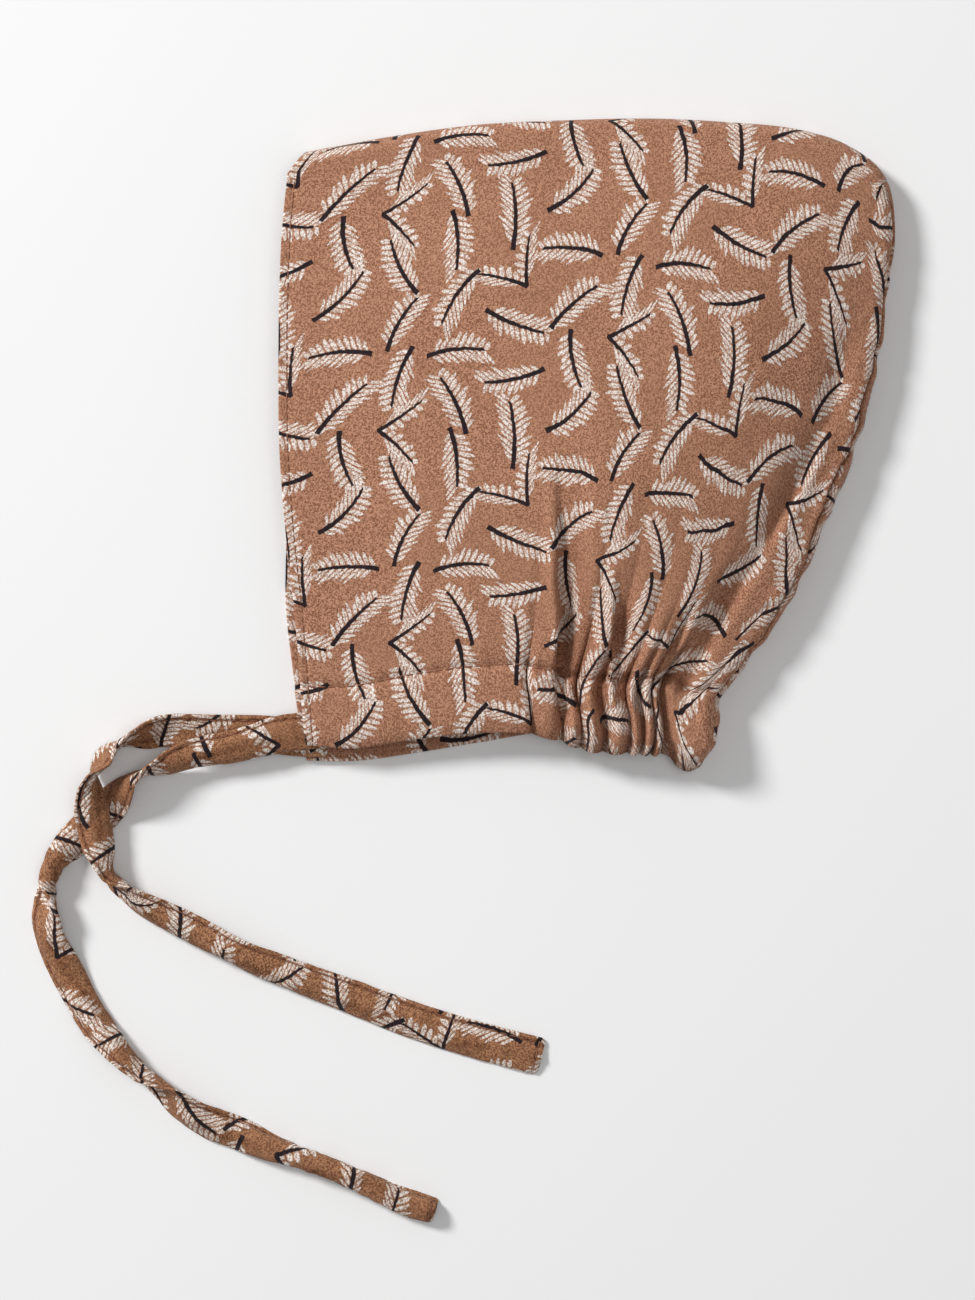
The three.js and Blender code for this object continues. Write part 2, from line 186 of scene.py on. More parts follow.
# Height of the near half at five levels, from the neck hem to the top of the head.
LOFT = table(
    "front quarter middle three_quarter back",
    8.5, 10.5, 12.5, 14, 11,
    10, 14, 18, 18, 11,
    11, 16, 21, 20, 10.5,
    11, 15.5, 19, 18, 10.5,
    9.5, 10.5, 11, 11, 10,
)

# Gathers of the neck hem. width is each tube's width, cloth what it takes of the flat hem, rise
# how deep the valleys beside it are, swell how far it puffs out between hem and stitching, reach
# how far up it fades out, and lean how far its crest wanders sideways up the casing.
GATHERS = table(
    "width cloth rise swell reach lean",
    8.6, 11, 2.4, 0.6, 13, 0.10,
    5.6, 11, 3.9, 1.2, 17, -0.12,
    6.4, 13, 4.0, 1.3, 19, 0.10,
    6.7, 14, 4.2, 1.4, 16, -0.08,
    3.3, 9, 3.6, 0.8, 9, 0.14,
    3.1, 9, 3.4, 0.7, 7, -0.10,
    2.5, 8, 3.6, 0.5, 7, 0.12,
    13.6, 24, 4.4, 2.8, 9, 0.04,
)
LAST_TUBE = len(GATHERS["width"]) - 1
LEAN_WAVE = 9
LEAN_END = 60
CREST_SHARPNESS = 0.72
ROUND_CREST = 0.5
ROUND_SWELL = 2
FLAT_SWELL = 0.25
PUFF_POWER = 0.8
SCALLOP = 0.9

# Dents at the casing's stitching and the roll of the hem, where it is gathered and where flat.
GATHERED_DENT = 1.1
FLAT_DENT = 0.7
DENT_WIDTH = 1.0
GATHERED_ROLL = 1.3
FLAT_ROLL = 1.0
FACE_GROOVE = 0.3
FACE_GROOVE_WIDTH = 0.55

# How much of the gathers shows on the far half and inside, how much of their cloth counts as
# hidden in the print, how much painted shade darkens the creases, and how little of the drape is left.
FAR_GATHER_SHARE = 0.5
INNER_GATHER_SHARE = 0.55
HIDDEN_SHARE = 0.5
GATHER_SHADE = 0.18
FOLD_SHADE = 0.11
SHADE_START = 0.2
LEAST_DRAPE = 0.25

# Folds up the near half, each a valley along a line. left and right are how wide its two sides
# are, seen from its upper end looking down, and ridge how high the cloth stands beside its steep side.
FOLDS = table(
    "from_x from_y to_x to_y depth left right ridge",
    25.8, 62, 27.9, -10, 4.3, 5.4, 1.1, 1.1,
    42.4, 30, 42.2, -6, 3.2, 3.4, 0.9, 0.8,
    77, 32, 61, -5, 2.0, 2.2, 3.0, 0.6,
    63, 19, 54.4, -2, 2.4, 1.8, 2.2, 0.5,
    109, 104, 101, 70, 1.3, 2.6, 3.2, 0.3,
    102.4, 73, 85, 38, 2.3, 1.4, 3.4, 0.8,
    86, 40, 70, 14, 1.8, 2.0, 2.8, 0.6,
)
FOLD_RISE = 0.6
FOLD_END = 6
STEEP_RIDGE_PLACE = 2.4
STEEP_RIDGE_WIDTH = 1.6
GENTLE_RIDGE = 0.5
GENTLE_RIDGE_PLACE = 2.2

# How upright a direction is where it begins to be made more so, and over what it is complete.
STEADY_FROM = 0.35
STEADY_RISE = 0.4

# How far inside the outline the centre-back seam lies, by height.
SEAM_INSET = table(
    "y inset",
    -28, 1.5,
    -6, 1.4,
    4, 0.7,
    12.8, 1.5,
    17.5, 2.3,
    27, 1.0,
    34.6, 2.6,
    44, 2.8,
    50, 3.3,
    54.7, 3.1,
    60, 1.3,
    67, 1.8,
    73, 2.6,
    85, 1.2,
    103, 0.4,
    125, 0.3,
)

# Each tie along its middle, from inside the hem to its free end. lift is the height of its
# underside, turn its twist in degrees, and curl how far its section is bent round, in radians: its
# edges point to its back where curl is above nought and to its front below it.
NEAR_TIE = table(
    "x y lift turn curl",
    -38, -16.6, 4.0, 0, 0.1,
    -44.5, -17.4, 4.25, 0, 0.3,
    -50.6, -18.1, 4.3, 0, 0.9,
    -57.5, -20.0, 4.0, -4, 1.9,
    -64.4, -21.8, 3.2, -12, 2.2,
    -70, -22.6, 2.7, -18, 2.3,
    -75.7, -23.8, 2.2, -30, 2.5,
    -80, -25.4, 1.6, -44, 2.2,
    -84, -27.2, 0.9, -64, 1.3,
    -88.5, -28.8, 0.3, -86, 0.4,
    -91.5, -30.4, 0, -104, -0.3,
    -94.4, -33.3, 0, -134, -1.0,
    -98.2, -37.8, 0, -168, -0.8,
    -103.5, -43.2, 0, -182, -0.9,
    -109.2, -48.6, 0, -196, -2.0,
    -113.3, -53.4, 0, -226, -3.6,
    -115.4, -58.9, 0, -272, -4.4,
    -116.3, -64.4, 0, -310, -2.2,
    -116, -70, 0, -324, 0.7,
    -114.7, -75.6, 0, -332, 1.9,
    -112.2, -81.1, 0, -346, 1.9,
    -109.4, -86.7, 0, -356, 2.2,
    -106.5, -92.2, 0, -362, 2.5,
    -103.1, -97.8, 0, -370, 2.6,
    -98.6, -103.3, 0, -390, 2.8,
    -93.1, -109.1, 0, -424, 3.6,
    -87.5, -113.9, 0, -456, 4.2,
    -81.9, -118.8, 0, -490, 1.2,
    -76.4, -122.9, 0, -508, -1.5,
    -70.8, -126.1, 0, -526, -1.8,
    -65.3, -128.3, 0, -540, -2.2,
    -59.7, -130.6, 0, -550, -2.7,
    -54.2, -133.0, 0, -558, -3.6,
    -48.6, -134.8, 0, -564, -4.5,
    -43.1, -136.5, 0, -568, -4.8,
    -37.5, -138.6, 0, -568, -4.9,
    -31.9, -141, 0, -566, -4.8,
    -26.4, -143.6, 0, -562, -4.5,
    -20.8, -146.4, 0, -558, -4.2,
    -15.3, -148.6, 0, -553, -3.8,
    -8.2, -150.8, 0, -550, -3.9,
)
FAR_TIE = table(
    "x y lift turn curl",
    -38, -19.6, 2.0, 0, -0.1,
    -46.9, -19.2, 1.95, 0, -0.2,
    -56, -18.3, 0.5, 0, -0.5,
    -68, -18.0, 0, -4, -0.9,
    -76, -17.6, 0, -12, -1.4,
    -83.3, -17.4, 0, -28, -1.7,
    -89.3, -19.3, 0, -52, -1.2,
    -95.3, -20.9, 0.2, -90, -0.2,
    -99.6, -24.4, 0.8, -122, 0.7,
    -102.2, -28.6, 1.6, -98, 0.9,
    -103.1, -33.9, 2.9, -52, 1.4,
    -103.1, -39.2, 3.9, -20, 1.6,
    -102.5, -43.6, 3.6, -8, 1.8,
    -101.6, -47.8, 2.5, -20, 1.9,
    -100.6, -51.2, 1.3, -42, 1.7,
    -99.7, -54.7, 0.4, -68, 2.0,
    -98.2, -58.0, 0, -90, 2.9,
    -95.6, -60.9, 0, -110, 2.0,
    -90.5, -64.4, 0, -128, -0.6,
    -85.9, -66.9, 0, -140, -1.7,
    -80.7, -69.5, 0, -150, -2.2,
    -75.6, -72.1, 0, -155, -2.6,
    -70.6, -74.7, 0, -154, -2.7,
    -65.3, -77.4, 0, -145, -2.4,
    -59.7, -80.2, 0, -150, -2.3,
    -54.2, -82.5, 0, -161, -2.4,
    -48.6, -84.7, 0, -168, -2.6,
    -41.0, -87.7, 0, -172, -2.3,
    -31.9, -91.1, 0, -176, -1.9,
    -20.8, -95.5, 0, -180, -1.5,
    -9.7, -99.4, 0, -180, -1.0,
    1.4, -102.8, 0, -180, -0.8,
    12.5, -105.8, 0, -180, -0.5,
    21.3, -108.0, 0, -180, -0.3,
)


# Lines and waves


def cubic(values, share):
    """Smooth value of evenly spread numbers at shares of their length."""
    values = np.asarray(values, float)
    spans = len(values) - 1
    first = np.clip(np.floor(share * spans), 0, spans - 1).astype(int)
    t = share * spans - first
    t = t.reshape(t.shape + (1,) * (values.ndim - 1))
    a, b, c, d = (values[np.clip(first + step, 0, spans)] for step in (-1, 0, 1, 2))
    bend = (2 * a - 5 * b + 4 * c - d) * t**2 + (3 * b - a - 3 * c + d) * t**3
    return 0.5 * (2 * b + (c - a) * t + bend)


def ease(share):
    """From 0 to 1 with a soft start and a soft end."""
    t = np.clip(share, 0, 1)
    return t * t * (3 - 2 * t)


def bump(distance, width):
    """1 at no distance, and falling off softly to both sides."""
    return np.exp(-((distance / width) ** 2))


def ripple(name, distance, seed=0):
    """The named ripple along a distance, as an uneven wave. A tie has a seed of its own."""
    size, wavelength, own_seed = RIPPLES[name]
    phases = np.random.default_rng(seed + own_seed).uniform(0, 2 * math.pi, 4)
    parts = zip((1, 0.63, 1.7, 2.9), (0.38, 0.24, 0.26, 0.12), phases)
    turn = 2 * math.pi * distance / wavelength
    return size * sum(share * np.sin(turn / stretch + phase) for stretch, share, phase in parts)


def running_sum(steps, axis=0):
    """Sums of steps along an axis, from nought."""
    start = np.zeros_like(np.take(steps, [0], axis))
    return np.concatenate([start, np.cumsum(steps, axis)], axis)


def unit(vectors):
    """Vectors brought to length 1."""
    return vectors / np.maximum(np.linalg.norm(vectors, axis=-1, keepdims=True), TINY)


def left_of(runs):
    """Directions square to runs in plan, to their left."""
    ahead = unit(runs)
    return np.stack([-ahead[..., 1], ahead[..., 0]], -1)


def raised(place, height):
    """Points at places in plan and at a height."""
    height = np.broadcast_to(height, place.shape[:-1])
    return np.concatenate([place, height[..., None]], -1)


class Line:
    """A table's rows as a smooth line that gives its columns at distances along it."""

    def __init__(self, rows):
        share = np.linspace(0, 1, (len(rows["x"]) - 1) * LINE_STEPS + 1)
        self.rows = {name: cubic(values, share) for name, values in rows.items()}
        self.along = running_sum(np.hypot(np.diff(self.rows["x"]), np.diff(self.rows["y"])))
        self.length = self.along[-1]

    def at(self, name, distance):
        return np.interp(distance, self.along, self.rows[name])

    def point(self, distance):
        return np.stack([self.at("x", distance), self.at("y", distance)], -1)


closed_edge = Line(CLOSED_EDGE)
front_edge = Line(FRONT_EDGE)
neck_edge = Line(NECK_EDGE)
corner_distance = closed_edge.along[BACK_CORNER * LINE_STEPS]
corner_share = corner_distance / closed_edge.length


# Crown: places in plan


def cloth_columns():
    """The crown's columns: place in the cloth, place on the hem, gather and phase in its tube."""
    flat = neck_edge.length - GATHERS["width"].sum()
    middle = np.linspace(FRONT_COLUMNS[-1], FLAT_HEM, round(FLAT_HEM / FLAT_STEP))
    rows = [(place, place / FLAT_HEM * flat, -1, 0) for place in (*FRONT_COLUMNS, *middle[1:-1])]
    start, foot = FLAT_HEM, flat
    for number, (width, used) in enumerate(zip(GATHERS["width"], GATHERS["cloth"])):
        for share in np.arange(TUBE_STEPS) / TUBE_STEPS:
            rows.append((start + share * used, foot + share * width, number, share))
        start += used
        foot += width
    rows.append((start, foot, LAST_TUBE, 1))
    cloth, hem, tube, phase = np.array(rows, float).T
    return cloth, hem, tube.astype(int), phase


# Levels above the hem lie closer together at the hem and at the casing's stitching.
COLUMN_CLOTH, COLUMN_HEM, COLUMN_TUBE, COLUMN_PHASE = cloth_columns()
CLOTH_WIDTH = COLUMN_CLOTH[-1]
ACROSS = COLUMN_CLOTH / CLOTH_WIDTH
CASING_LEVELS = (0, 0.8, 1.8, *np.linspace(3, 13.6, 9), 14.6, 15.3, 15.7, 16, 16.3, 16.7, 17.4)
LEVELS = np.array([*CASING_LEVELS, *np.linspace(18.6, CLOTH_HEIGHT, 86)])
UP = LEVELS / CLOTH_HEIGHT
LAST_COLUMN = len(ACROSS) - 1
LAST_LEVEL = len(UP) - 1


def edge_at(side, name, share):
    """Points of an open edge of one half, by shares from the neck's front corner."""
    line = front_edge if name == "front" else neck_edge
    distance = np.asarray(share) * line.length
    point = line.point(distance)
    if side == "near":
        return point
    if name == "neck":
        point[..., 1] -= line.at("below", distance)
        return point
    point[..., 0] -= line.at("beyond", distance)
    point[..., 1] -= NECK_EDGE["below"][0] * np.maximum(1 - share / HEM_CORNER_SHARE, 0)
    return point


def fold_section(distance):
    """The closed edge at distances along it, and the points beside it where the fold begins."""
    before, outer, after = (closed_edge.point(distance + d) for d in (-PROBE, 0, PROBE))
    inward = -left_of(after - before)
    inside = outer + FOLD_REACH * inward
    waver = ease((distance - corner_distance - WAVER_START) / WAVER_RISE)
    waver = waver * ease((closed_edge.length - distance) / WAVER_END)
    shift = waver * ripple("seam_line", np.maximum(distance, corner_distance))
    return outer - inward * shift[..., None], inside


def fold_point(share, side):
    """The same for one half, with the inner points drawn to the corners of the openings."""
    distance = np.asarray(share) * closed_edge.length
    outer, inner = fold_section(distance)
    ends = ((edge_at(side, "front", 1.0), 0), (edge_at(side, "neck", 1.0), closed_edge.length))
    for corner, end in ends:
        own = fold_section(np.array(float(end)))[1]
        pull = ease(1 - np.abs(distance - end) / CORNER_REACH)
        inner = inner + (corner - own) * pull[..., None]
    return outer, inner


def plan(side):
    """The plan of one half's grid between its four edges, with the gathers' hem scalloped."""
    left = edge_at(side, "front", UP)
    right = fold_point(1 - UP * (1 - corner_share), side)[1]
    low = edge_at(side, "neck", COLUMN_HEM / neck_edge.length)
    scalloped = (COLUMN_TUBE >= 0) & (COLUMN_TUBE < LAST_TUBE)
    low[:, 1] -= SCALLOP * np.sin(math.pi * COLUMN_PHASE) * scalloped
    high = fold_point(ACROSS * corner_share, side)[1]
    a, u = ACROSS[:, None, None], UP[None, :, None]
    sides = (1 - a) * left[None] + a * right[None] + (1 - u) * low[:, None] + u * high[:, None]
    low_corners = (1 - a) * low[0] + a * low[-1]
    high_corners = (1 - a) * high[0] + a * high[-1]
    return sides - (1 - u) * low_corners - u * high_corners


# Crown: heights and relief


def loft():
    """Height of the near half over its grid."""
    at_columns = cubic(np.stack(list(LOFT.values())), ACROSS)
    return cubic(at_columns.T, UP).T


def fold_relief(place):
    """Folds of the near half at places in plan, as a height."""
    height = np.zeros(place.shape[:-1])
    for from_x, from_y, to_x, to_y, depth, left, right, ridge in zip(*FOLDS.values()):
        run_x, run_y = to_x - from_x, to_y - from_y
        run = math.hypot(run_x, run_y)
        x, y = place[..., 0] - from_x, place[..., 1] - from_y
        along = (x * run_x + y * run_y) / run
        aside = (y * run_x - x * run_y) / run + ripple("fold_line", along)
        fade = ease(along / (FOLD_RISE * run)) * ease((run - along) / FOLD_END + 1)
        valley = -depth * bump(aside, np.where(aside > 0, left, right))
        steep = ridge * bump(aside + STEEP_RIDGE_PLACE * right, STEEP_RIDGE_WIDTH * right)
        gentle = GENTLE_RIDGE * ridge * bump(aside - GENTLE_RIDGE_PLACE * left, left)
        height += fade * (valley + (steep + gentle))
    return height


def drape(place):
    """Soft unevenness of the cloth as it lies: broad swells, waves across them and small ones."""
    x, y = place[..., 0], place[..., 1]
    height = 0.55 * np.sin(x / 17 + 0.6 * np.sin(y / 23)) * np.sin(y / 29 + 1.3)
    height += 0.3 * np.sin(x / 7.5 + y / 19 + 0.8 * np.sin(y / 14))
    height += 0.10 * np.sin(x / 3.1 - y / 9) * np.sin(y / 4.7 + x / 11)
    return height


def edge_calm():
    """Less drape beside the openings and the folds, where stitching holds the cloth."""
    across = ease(ACROSS / 0.12) * ease((1 - ACROSS) / 0.08)
    up = ease((UP - 0.04) / 0.12) * ease((1 - UP) / 0.08)
    return LEAST_DRAPE + (1 - LEAST_DRAPE) * across[:, None] * up[None, :]


def near_height(place):
    """Height of the near half, before the gathers dent it."""
    return loft() + fold_relief(place) + drape(place) * edge_calm()


def gather_dip():
    """How deep the gathers and the stitched lines dent the cloth, along its normal."""
    level = LEVELS[None, :]
    above = np.maximum(level - CASING_HEIGHT, 0)
    tube, phase = COLUMN_TUBE[:, None], COLUMN_PHASE[:, None]
    held = tube >= 0

    def own(name, elsewhere):
        return np.where(held, GATHERS[name][tube], elsewhere)

    leaning = phase + own("lean", 0) * np.sin(level / LEAN_WAVE) * (1 - above / LEAN_END)
    phase = np.where((phase > 0) & (phase < 1), np.clip(leaning, 0, 1), phase)
    swell = own("swell", FLAT_SWELL)
    puff = swell * np.sin(math.pi * np.clip(level / CASING_HEIGHT, 0, 1)) ** PUFF_POWER
    sharpness = np.where(swell > ROUND_SWELL, ROUND_CREST, CREST_SHARPNESS)
    turn = np.where(tube == LAST_TUBE, math.pi / 2, math.pi)
    crest = np.where(held, np.maximum(np.sin(turn * phase), 0) ** sharpness, 1)
    dip = own("rise", 0) * (1 - crest) * np.exp(-above / own("reach", 1)) - puff * crest
    stitch = np.where(held, GATHERED_DENT, FLAT_DENT) * bump(level - CASING_HEIGHT, DENT_WIDTH)
    roll = np.where(held, GATHERED_ROLL * (1 + swell), FLAT_ROLL)
    return dip + stitch + roll * np.clip(1 - level / HEM_ROLL, 0, 1) ** 2


def puckers():
    """Small ripples beside the casing's stitching, the face edge and the centre-back seam."""
    cloth, level = COLUMN_CLOTH[:, None], LEVELS[None, :]
    inset = CLOTH_WIDTH - cloth
    above = level - CASING_HEIGHT
    small = ripple("casing", cloth) * bump(above, 4.5)
    small += ripple("casing_fine", cloth) * bump(above, 2.2)
    small += ripple("face", level) * np.exp(-cloth / 5)
    small -= FACE_GROOVE * bump(cloth - FRONT_STITCH, FACE_GROOVE_WIDTH)
    small += ripple("seam", level) * np.exp(-inset / 7)
    small += ripple("seam_slanted", level + 0.9 * inset) * np.exp(-inset / 4.5)
    small += ripple("hem", cloth) * bump(level, 7)
    crumple = ripple("crumple", cloth + 0.7 * level)
    crumple = crumple * ripple("crumple_across", level - 0.4 * cloth)
    fine = ripple("crumple_fine", cloth - 0.5 * level) * ripple("crumple_fine_across", level)
    held = ease((cloth - FLAT_HEM + 4) / 8) * ease((CLOTH_WIDTH - cloth) / 8)
    return small + (crumple + fine) * held * bump(level - 12, 15)


def wall():
    """Thickness of the cloth over the grid, with the turned-up casing inside."""
    step = ease((LEVELS - CASING_HEIGHT) / CASING_STEP)
    up = CASING_CLOTH + (CLOTH - CASING_CLOTH) * step
    return np.broadcast_to(up[None, :], (LAST_COLUMN + 1, LAST_LEVEL + 1))


# Crown: mesh


class Skin:
    """Vertices and quads of a cloth, with each quad's own place in the flat cloth."""

    def __init__(self):
        self.points = np.zeros((0, 3))
        # Each vertex's wall thickness, dent, and painted shade in creases.
        self.thickness = self.dip = self.crease_and_painted_shade = np.zeros(0)
        self.quads, self.corners = [], []

    def add(self, points, thickness, dip, crease_and_painted_shade=0):
        """Adds vertices and gives their numbers, in the same layout."""
        layout = points.shape[:-1]
        numbers = np.arange(math.prod(layout)).reshape(layout) + len(self.points)
        self.points = np.concatenate([self.points, points.reshape(-1, 3)])
        grown = ((self.thickness, thickness), (self.dip, dip), (self.crease_and_painted_shade, crease_and_painted_shade))
        self.thickness, self.dip, self.crease_and_painted_shade = (
            np.concatenate([own, np.broadcast_to(values, layout).ravel()]) for own, values in grown
        )
        return numbers

    def patch(self, numbers, places, turned):
        """Joins a layout of vertices with quads. places is each vertex's place in the cloth."""
        corners = [(0, 0), (1, 0), (1, 1), (0, 1)]
        if turned:
            corners.reverse()
        rows, columns = numbers.shape
        for grid, found in ((numbers, self.quads), (places, self.corners)):
            parts = [grid[r : rows - 1 + r, c : columns - 1 + c] for r, c in corners]
            found.append(np.stack([part.reshape(-1, *grid.shape[2:]) for part in parts], 1))


def vertex_normals(points, quads):
    """The average direction of the quads at each vertex."""
    a, b, c, d = (points[quads[:, corner]] for corner in range(4))
    faces = np.cross(c - a, d - b)
    normals = np.zeros_like(points)
    for corner in range(4):
        np.add.at(normals, quads[:, corner], faces)
    return unit(normals)


def cloth_places(dips):
    """The grid's places in the flat cloth, some of which counts as hidden in the gathers."""
    place = plan("near")
    surface = raised(place, near_height(place) - dips)
    shown = running_sum(np.linalg.norm(np.diff(surface, axis=0), axis=-1))
    across, level = np.meshgrid(COLUMN_CLOTH, LEVELS, indexing="ij")
    return np.stack([across + HIDDEN_SHARE * (shown - across), level], -1)


def mirrored(places, top):
    """The far half's places in the cloth, which is folded over at that height."""
    return np.stack([places[..., 0], 2 * top - places[..., 1]], -1)


def fold_layout():
    """For each section of the fold: its share of the closed edge, its column and its level."""
    place = np.arange(LAST_COLUMN + LAST_LEVEL + 1)
    column = np.minimum(place, LAST_COLUMN)
    level = np.minimum(LAST_COLUMN + LAST_LEVEL - place, LAST_LEVEL)
    top, back = ACROSS[column] * corner_share, 1 - UP[level] * (1 - corner_share)
    return np.where(place > LAST_COLUMN, back, top), column, level


def strip_shares(distance, outer):
    """Shares across the fold for each of its sections, and how hard its seam is pulled in."""
    to_back = ease((distance - corner_distance) / SEAM_RISE)
    back_inset = np.interp(outer[:, 1], SEAM_INSET["y"], SEAM_INSET["inset"])
    inset = (TOP_INSET + (back_inset - TOP_INSET) * to_back)[:, None]
    before_seam = inset * np.array(SEAM_STEPS)
    after_seam = inset + (FOLD_REACH - inset) * np.array(SEAM_SHARES)
    pull = to_back * ease((closed_edge.length - distance - SEAM_END) / SEAM_FADE)
    return np.concatenate([before_seam, after_seam], 1) / FOLD_REACH, pull[:, None]


def crown_skin():
    """The crown's outer skin, and the vertices of its two halves and of the fold between them."""
    skin = Skin()
    share, column, level = fold_layout()
    distance = share * closed_edge.length
    outer = fold_point(share, "near")[0]
    thickness = wall()
    line = skin.add(raised(outer, FOLD_MIDDLE), thickness[column, level], 0)

    inward, pull = strip_shares(distance, outer)
    rise = np.sqrt(np.maximum(1 - (1 - inward) ** 2, 0))
    groove = np.zeros(inward.shape[1])
    groove[SEAM_STEP] = 1
    groove[SEAM_STEP - 1] = groove[SEAM_STEP + 1] = GROOVE_SIDE
    groove = groove * pull
    swell = ripple("seam_swell", distance)[:, None] * pull * np.sin(math.pi * inward)

    dips = gather_dip()
    small = puckers()
    cloth = cloth_places(dips)
    is_back = np.arange(len(share)) > LAST_COLUMN
    to_edge = np.where(is_back[:, None, None], (1, 0), (0, 1))
    grids, strips = {}, {}
    for side in ("near", "far"):
        near = side == "near"
        place = plan(side)
        valley = np.maximum(-fold_relief(place), 0) if near else 0
        # Painted shade: the cloth is darkened in the gathers' valleys and along the folds' valleys.
        crease_and_painted_shade = np.clip(GATHER_SHADE * (dips - SHADE_START) + FOLD_SHADE * valley, 0, 1)
        dip = (dips - small) * (1 if near else FAR_GATHER_SHARE)
        height = near_height(place) if near else 0
        grid = skin.add(raised(place, height), thickness, dip, crease_and_painted_shade)

        edge = grid[column, level]
        span = (skin.points[edge] - skin.points[line])[:, None]
        strip_points = skin.points[line][:, None] + np.stack([inward, inward, rise], -1) * span
        strip_dip = skin.dip[edge][:, None] * inward
        # The fold's strip takes the painted shade of the grid beside it, and on the near half also
        # painted shade along the seam's groove.
        strip_painted_shade = skin.crease_and_painted_shade[edge][:, None] * inward
        if near:
            strip_dip = strip_dip + SEAM_DEPTH * groove - swell
            strip_painted_shade = np.clip(strip_painted_shade + groove, 0, 1)
        inner = np.s_[:, 1:-1]
        wall_here = skin.thickness[edge][:, None]
        middle = skin.add(strip_points[inner], wall_here, strip_dip[inner], strip_painted_shade[inner])
        strip = np.concatenate([line[:, None], middle, edge[:, None]], 1)
        grids[side], strips[side] = grid, strip

        arc = running_sum(np.linalg.norm(np.diff(strip_points, axis=1), axis=2), 1)
        places = cloth[column, level][:, None] + (arc[:, -1:] - arc)[..., None] * to_edge
        if near:
            near_arc, top = arc, CLOTH_HEIGHT + arc[:, -1].mean()
            over_top, down_back = np.s_[: LAST_COLUMN + 1], np.s_[LAST_COLUMN:, SEAM_STEP:]
            skin.patch(grid, cloth, False)
            skin.patch(strip[over_top], places[over_top], True)
            skin.patch(strip[down_back], places[down_back], True)
        else:
            beyond = places[:, :1] + near_arc[..., None] * (1, 0)
            to_seam = np.s_[LAST_COLUMN:, : SEAM_STEP + 1]
            skin.patch(grid, mirrored(cloth, top), True)
            skin.patch(strip, mirrored(places, top), False)
            skin.patch(strips["near"][to_seam], mirrored(beyond, top)[to_seam], True)

    return skin, grids, strips


def crown_rim(grids, strips):
    """The vertices once round both openings, and the ones beside them."""
    runs = (
        grids["near"][:2],
        strips["near"][:2, -2::-1],
        strips["far"][:2, 1:-1],
        grids["far"][:2, ::-1],
        grids["far"][1:, :2].T,
        strips["far"][:-3:-1, -2::-1],
        strips["near"][:-3:-1, 1:-1],
        grids["near"][:0:-1, :2].T,
    )
    return np.concatenate(runs, 1)


def steady(directions):
    """Directions square to the cloth, made upright where it lies level."""
    level = np.abs(directions[:, 2:])
    upright = np.sign(directions[:, 2:]) * np.array([0, 0, 1])
    share = ease((level - STEADY_FROM) / STEADY_RISE)
    return unit(directions * (1 - share) + upright * share)


def crown_mesh():
    """The crown as a closed wall with rounded hems, and its outer skin for the stitches."""
    skin, grids, strips = crown_skin()
    rim, beside = crown_rim(grids, strips)
    quads, places = np.concatenate(skin.quads), np.concatenate(skin.corners)
    off_cloth = steady(vertex_normals(skin.points, quads))
    outer = skin.points - off_cloth * skin.dip[:, None]
    directions = vertex_normals(outer, quads)
    outer[:, 2] = np.maximum(outer[:, 2], 0)
    depth = skin.thickness + skin.dip * (INNER_GATHER_SHARE - 1) * (skin.dip > 0)
    inner = outer - off_cloth * np.maximum(depth, LEAST_WALL)[:, None]
    inner[:, 2] = np.maximum(inner[:, 2], skin.thickness)

    count = len(outer)
    middle, half = (outer[rim] + inner[rim]) / 2, (outer[rim] - inner[rim]) / 2
    reach = np.minimum(RIM_REACH * np.linalg.norm(half, axis=1), RIM_LIMIT)[:, None]
    away = skin.points[rim] - skin.points[beside]
    away = unit(sum(np.roll(away, step, 0) for step in range(-RIM_SMOOTHING, RIM_SMOOTHING + 1)))
    # Painted shade for each vertex: as in the skin on the outer skin and the rim rings, none on the
    # inner skin.
    points, painted_shades, rows = [outer, inner], [skin.crease_and_painted_shade, skin.crease_and_painted_shade * 0], [rim]
    for step in range(1, RIM_STEPS):
        angle = math.pi * step / RIM_STEPS
        ring = middle + half * math.cos(angle) + away * reach * math.sin(angle)
        ring[:, 2] = np.maximum(ring[:, 2], 0)
        points.append(ring)
        painted_shades.append(skin.crease_and_painted_shade[rim])
        rows.append(2 * count + (step - 1) * len(rim) + np.arange(len(rim)))
    rows.append(rim + count)

    found = np.zeros((count, 2))
    found[quads.ravel()] = places.reshape(-1, 2)
    place, after = found[rim], np.roll(found[rim], -1, 0)
    all_quads, all_places = [quads, quads[:, ::-1] + count], [places, places[:, ::-1]]
    for a, b in zip(rows, rows[1:]):
        all_quads.append(np.stack([a, np.roll(a, -1), np.roll(b, -1), b], 1))
        all_places.append(np.stack([place, after, after, place], 1))
    parts = (np.concatenate(values) for values in (points, all_quads, all_places, painted_shades))
    return mesh_from("crown_cloth", *parts), outer, directions, grids


def mesh_from(name, points, quads, places, crease_and_painted_shade=None):
    """A smooth Blender mesh from millimetres, with the cloth's flat places as its UV map.

    The last argument, if given, is how much painted shade each vertex gets in the creases, from 0 to
    1.
    """
    mesh = bpy.data.meshes.new(name)
    mesh.from_pydata((points * MM).tolist(), [], quads.tolist())
    layer = mesh.uv_layers.new(name="Cloth")
    layer.data.foreach_set("uv", (places.reshape(-1, 2) * MM).astype(np.float32).ravel())
    mesh.polygons.foreach_set("use_smooth", [True] * len(mesh.polygons))
    if crease_and_painted_shade is not None:
        mesh.attributes.new("painted_crease_shade", "FLOAT", "POINT").data.foreach_set("value", crease_and_painted_shade)
    mesh.update()
    return mesh


# Ties. Places across a tie: its thin lip, its seam and then its soft part. The ties lie lower than
# the crown, and so look that much nearer to the picture's middle.

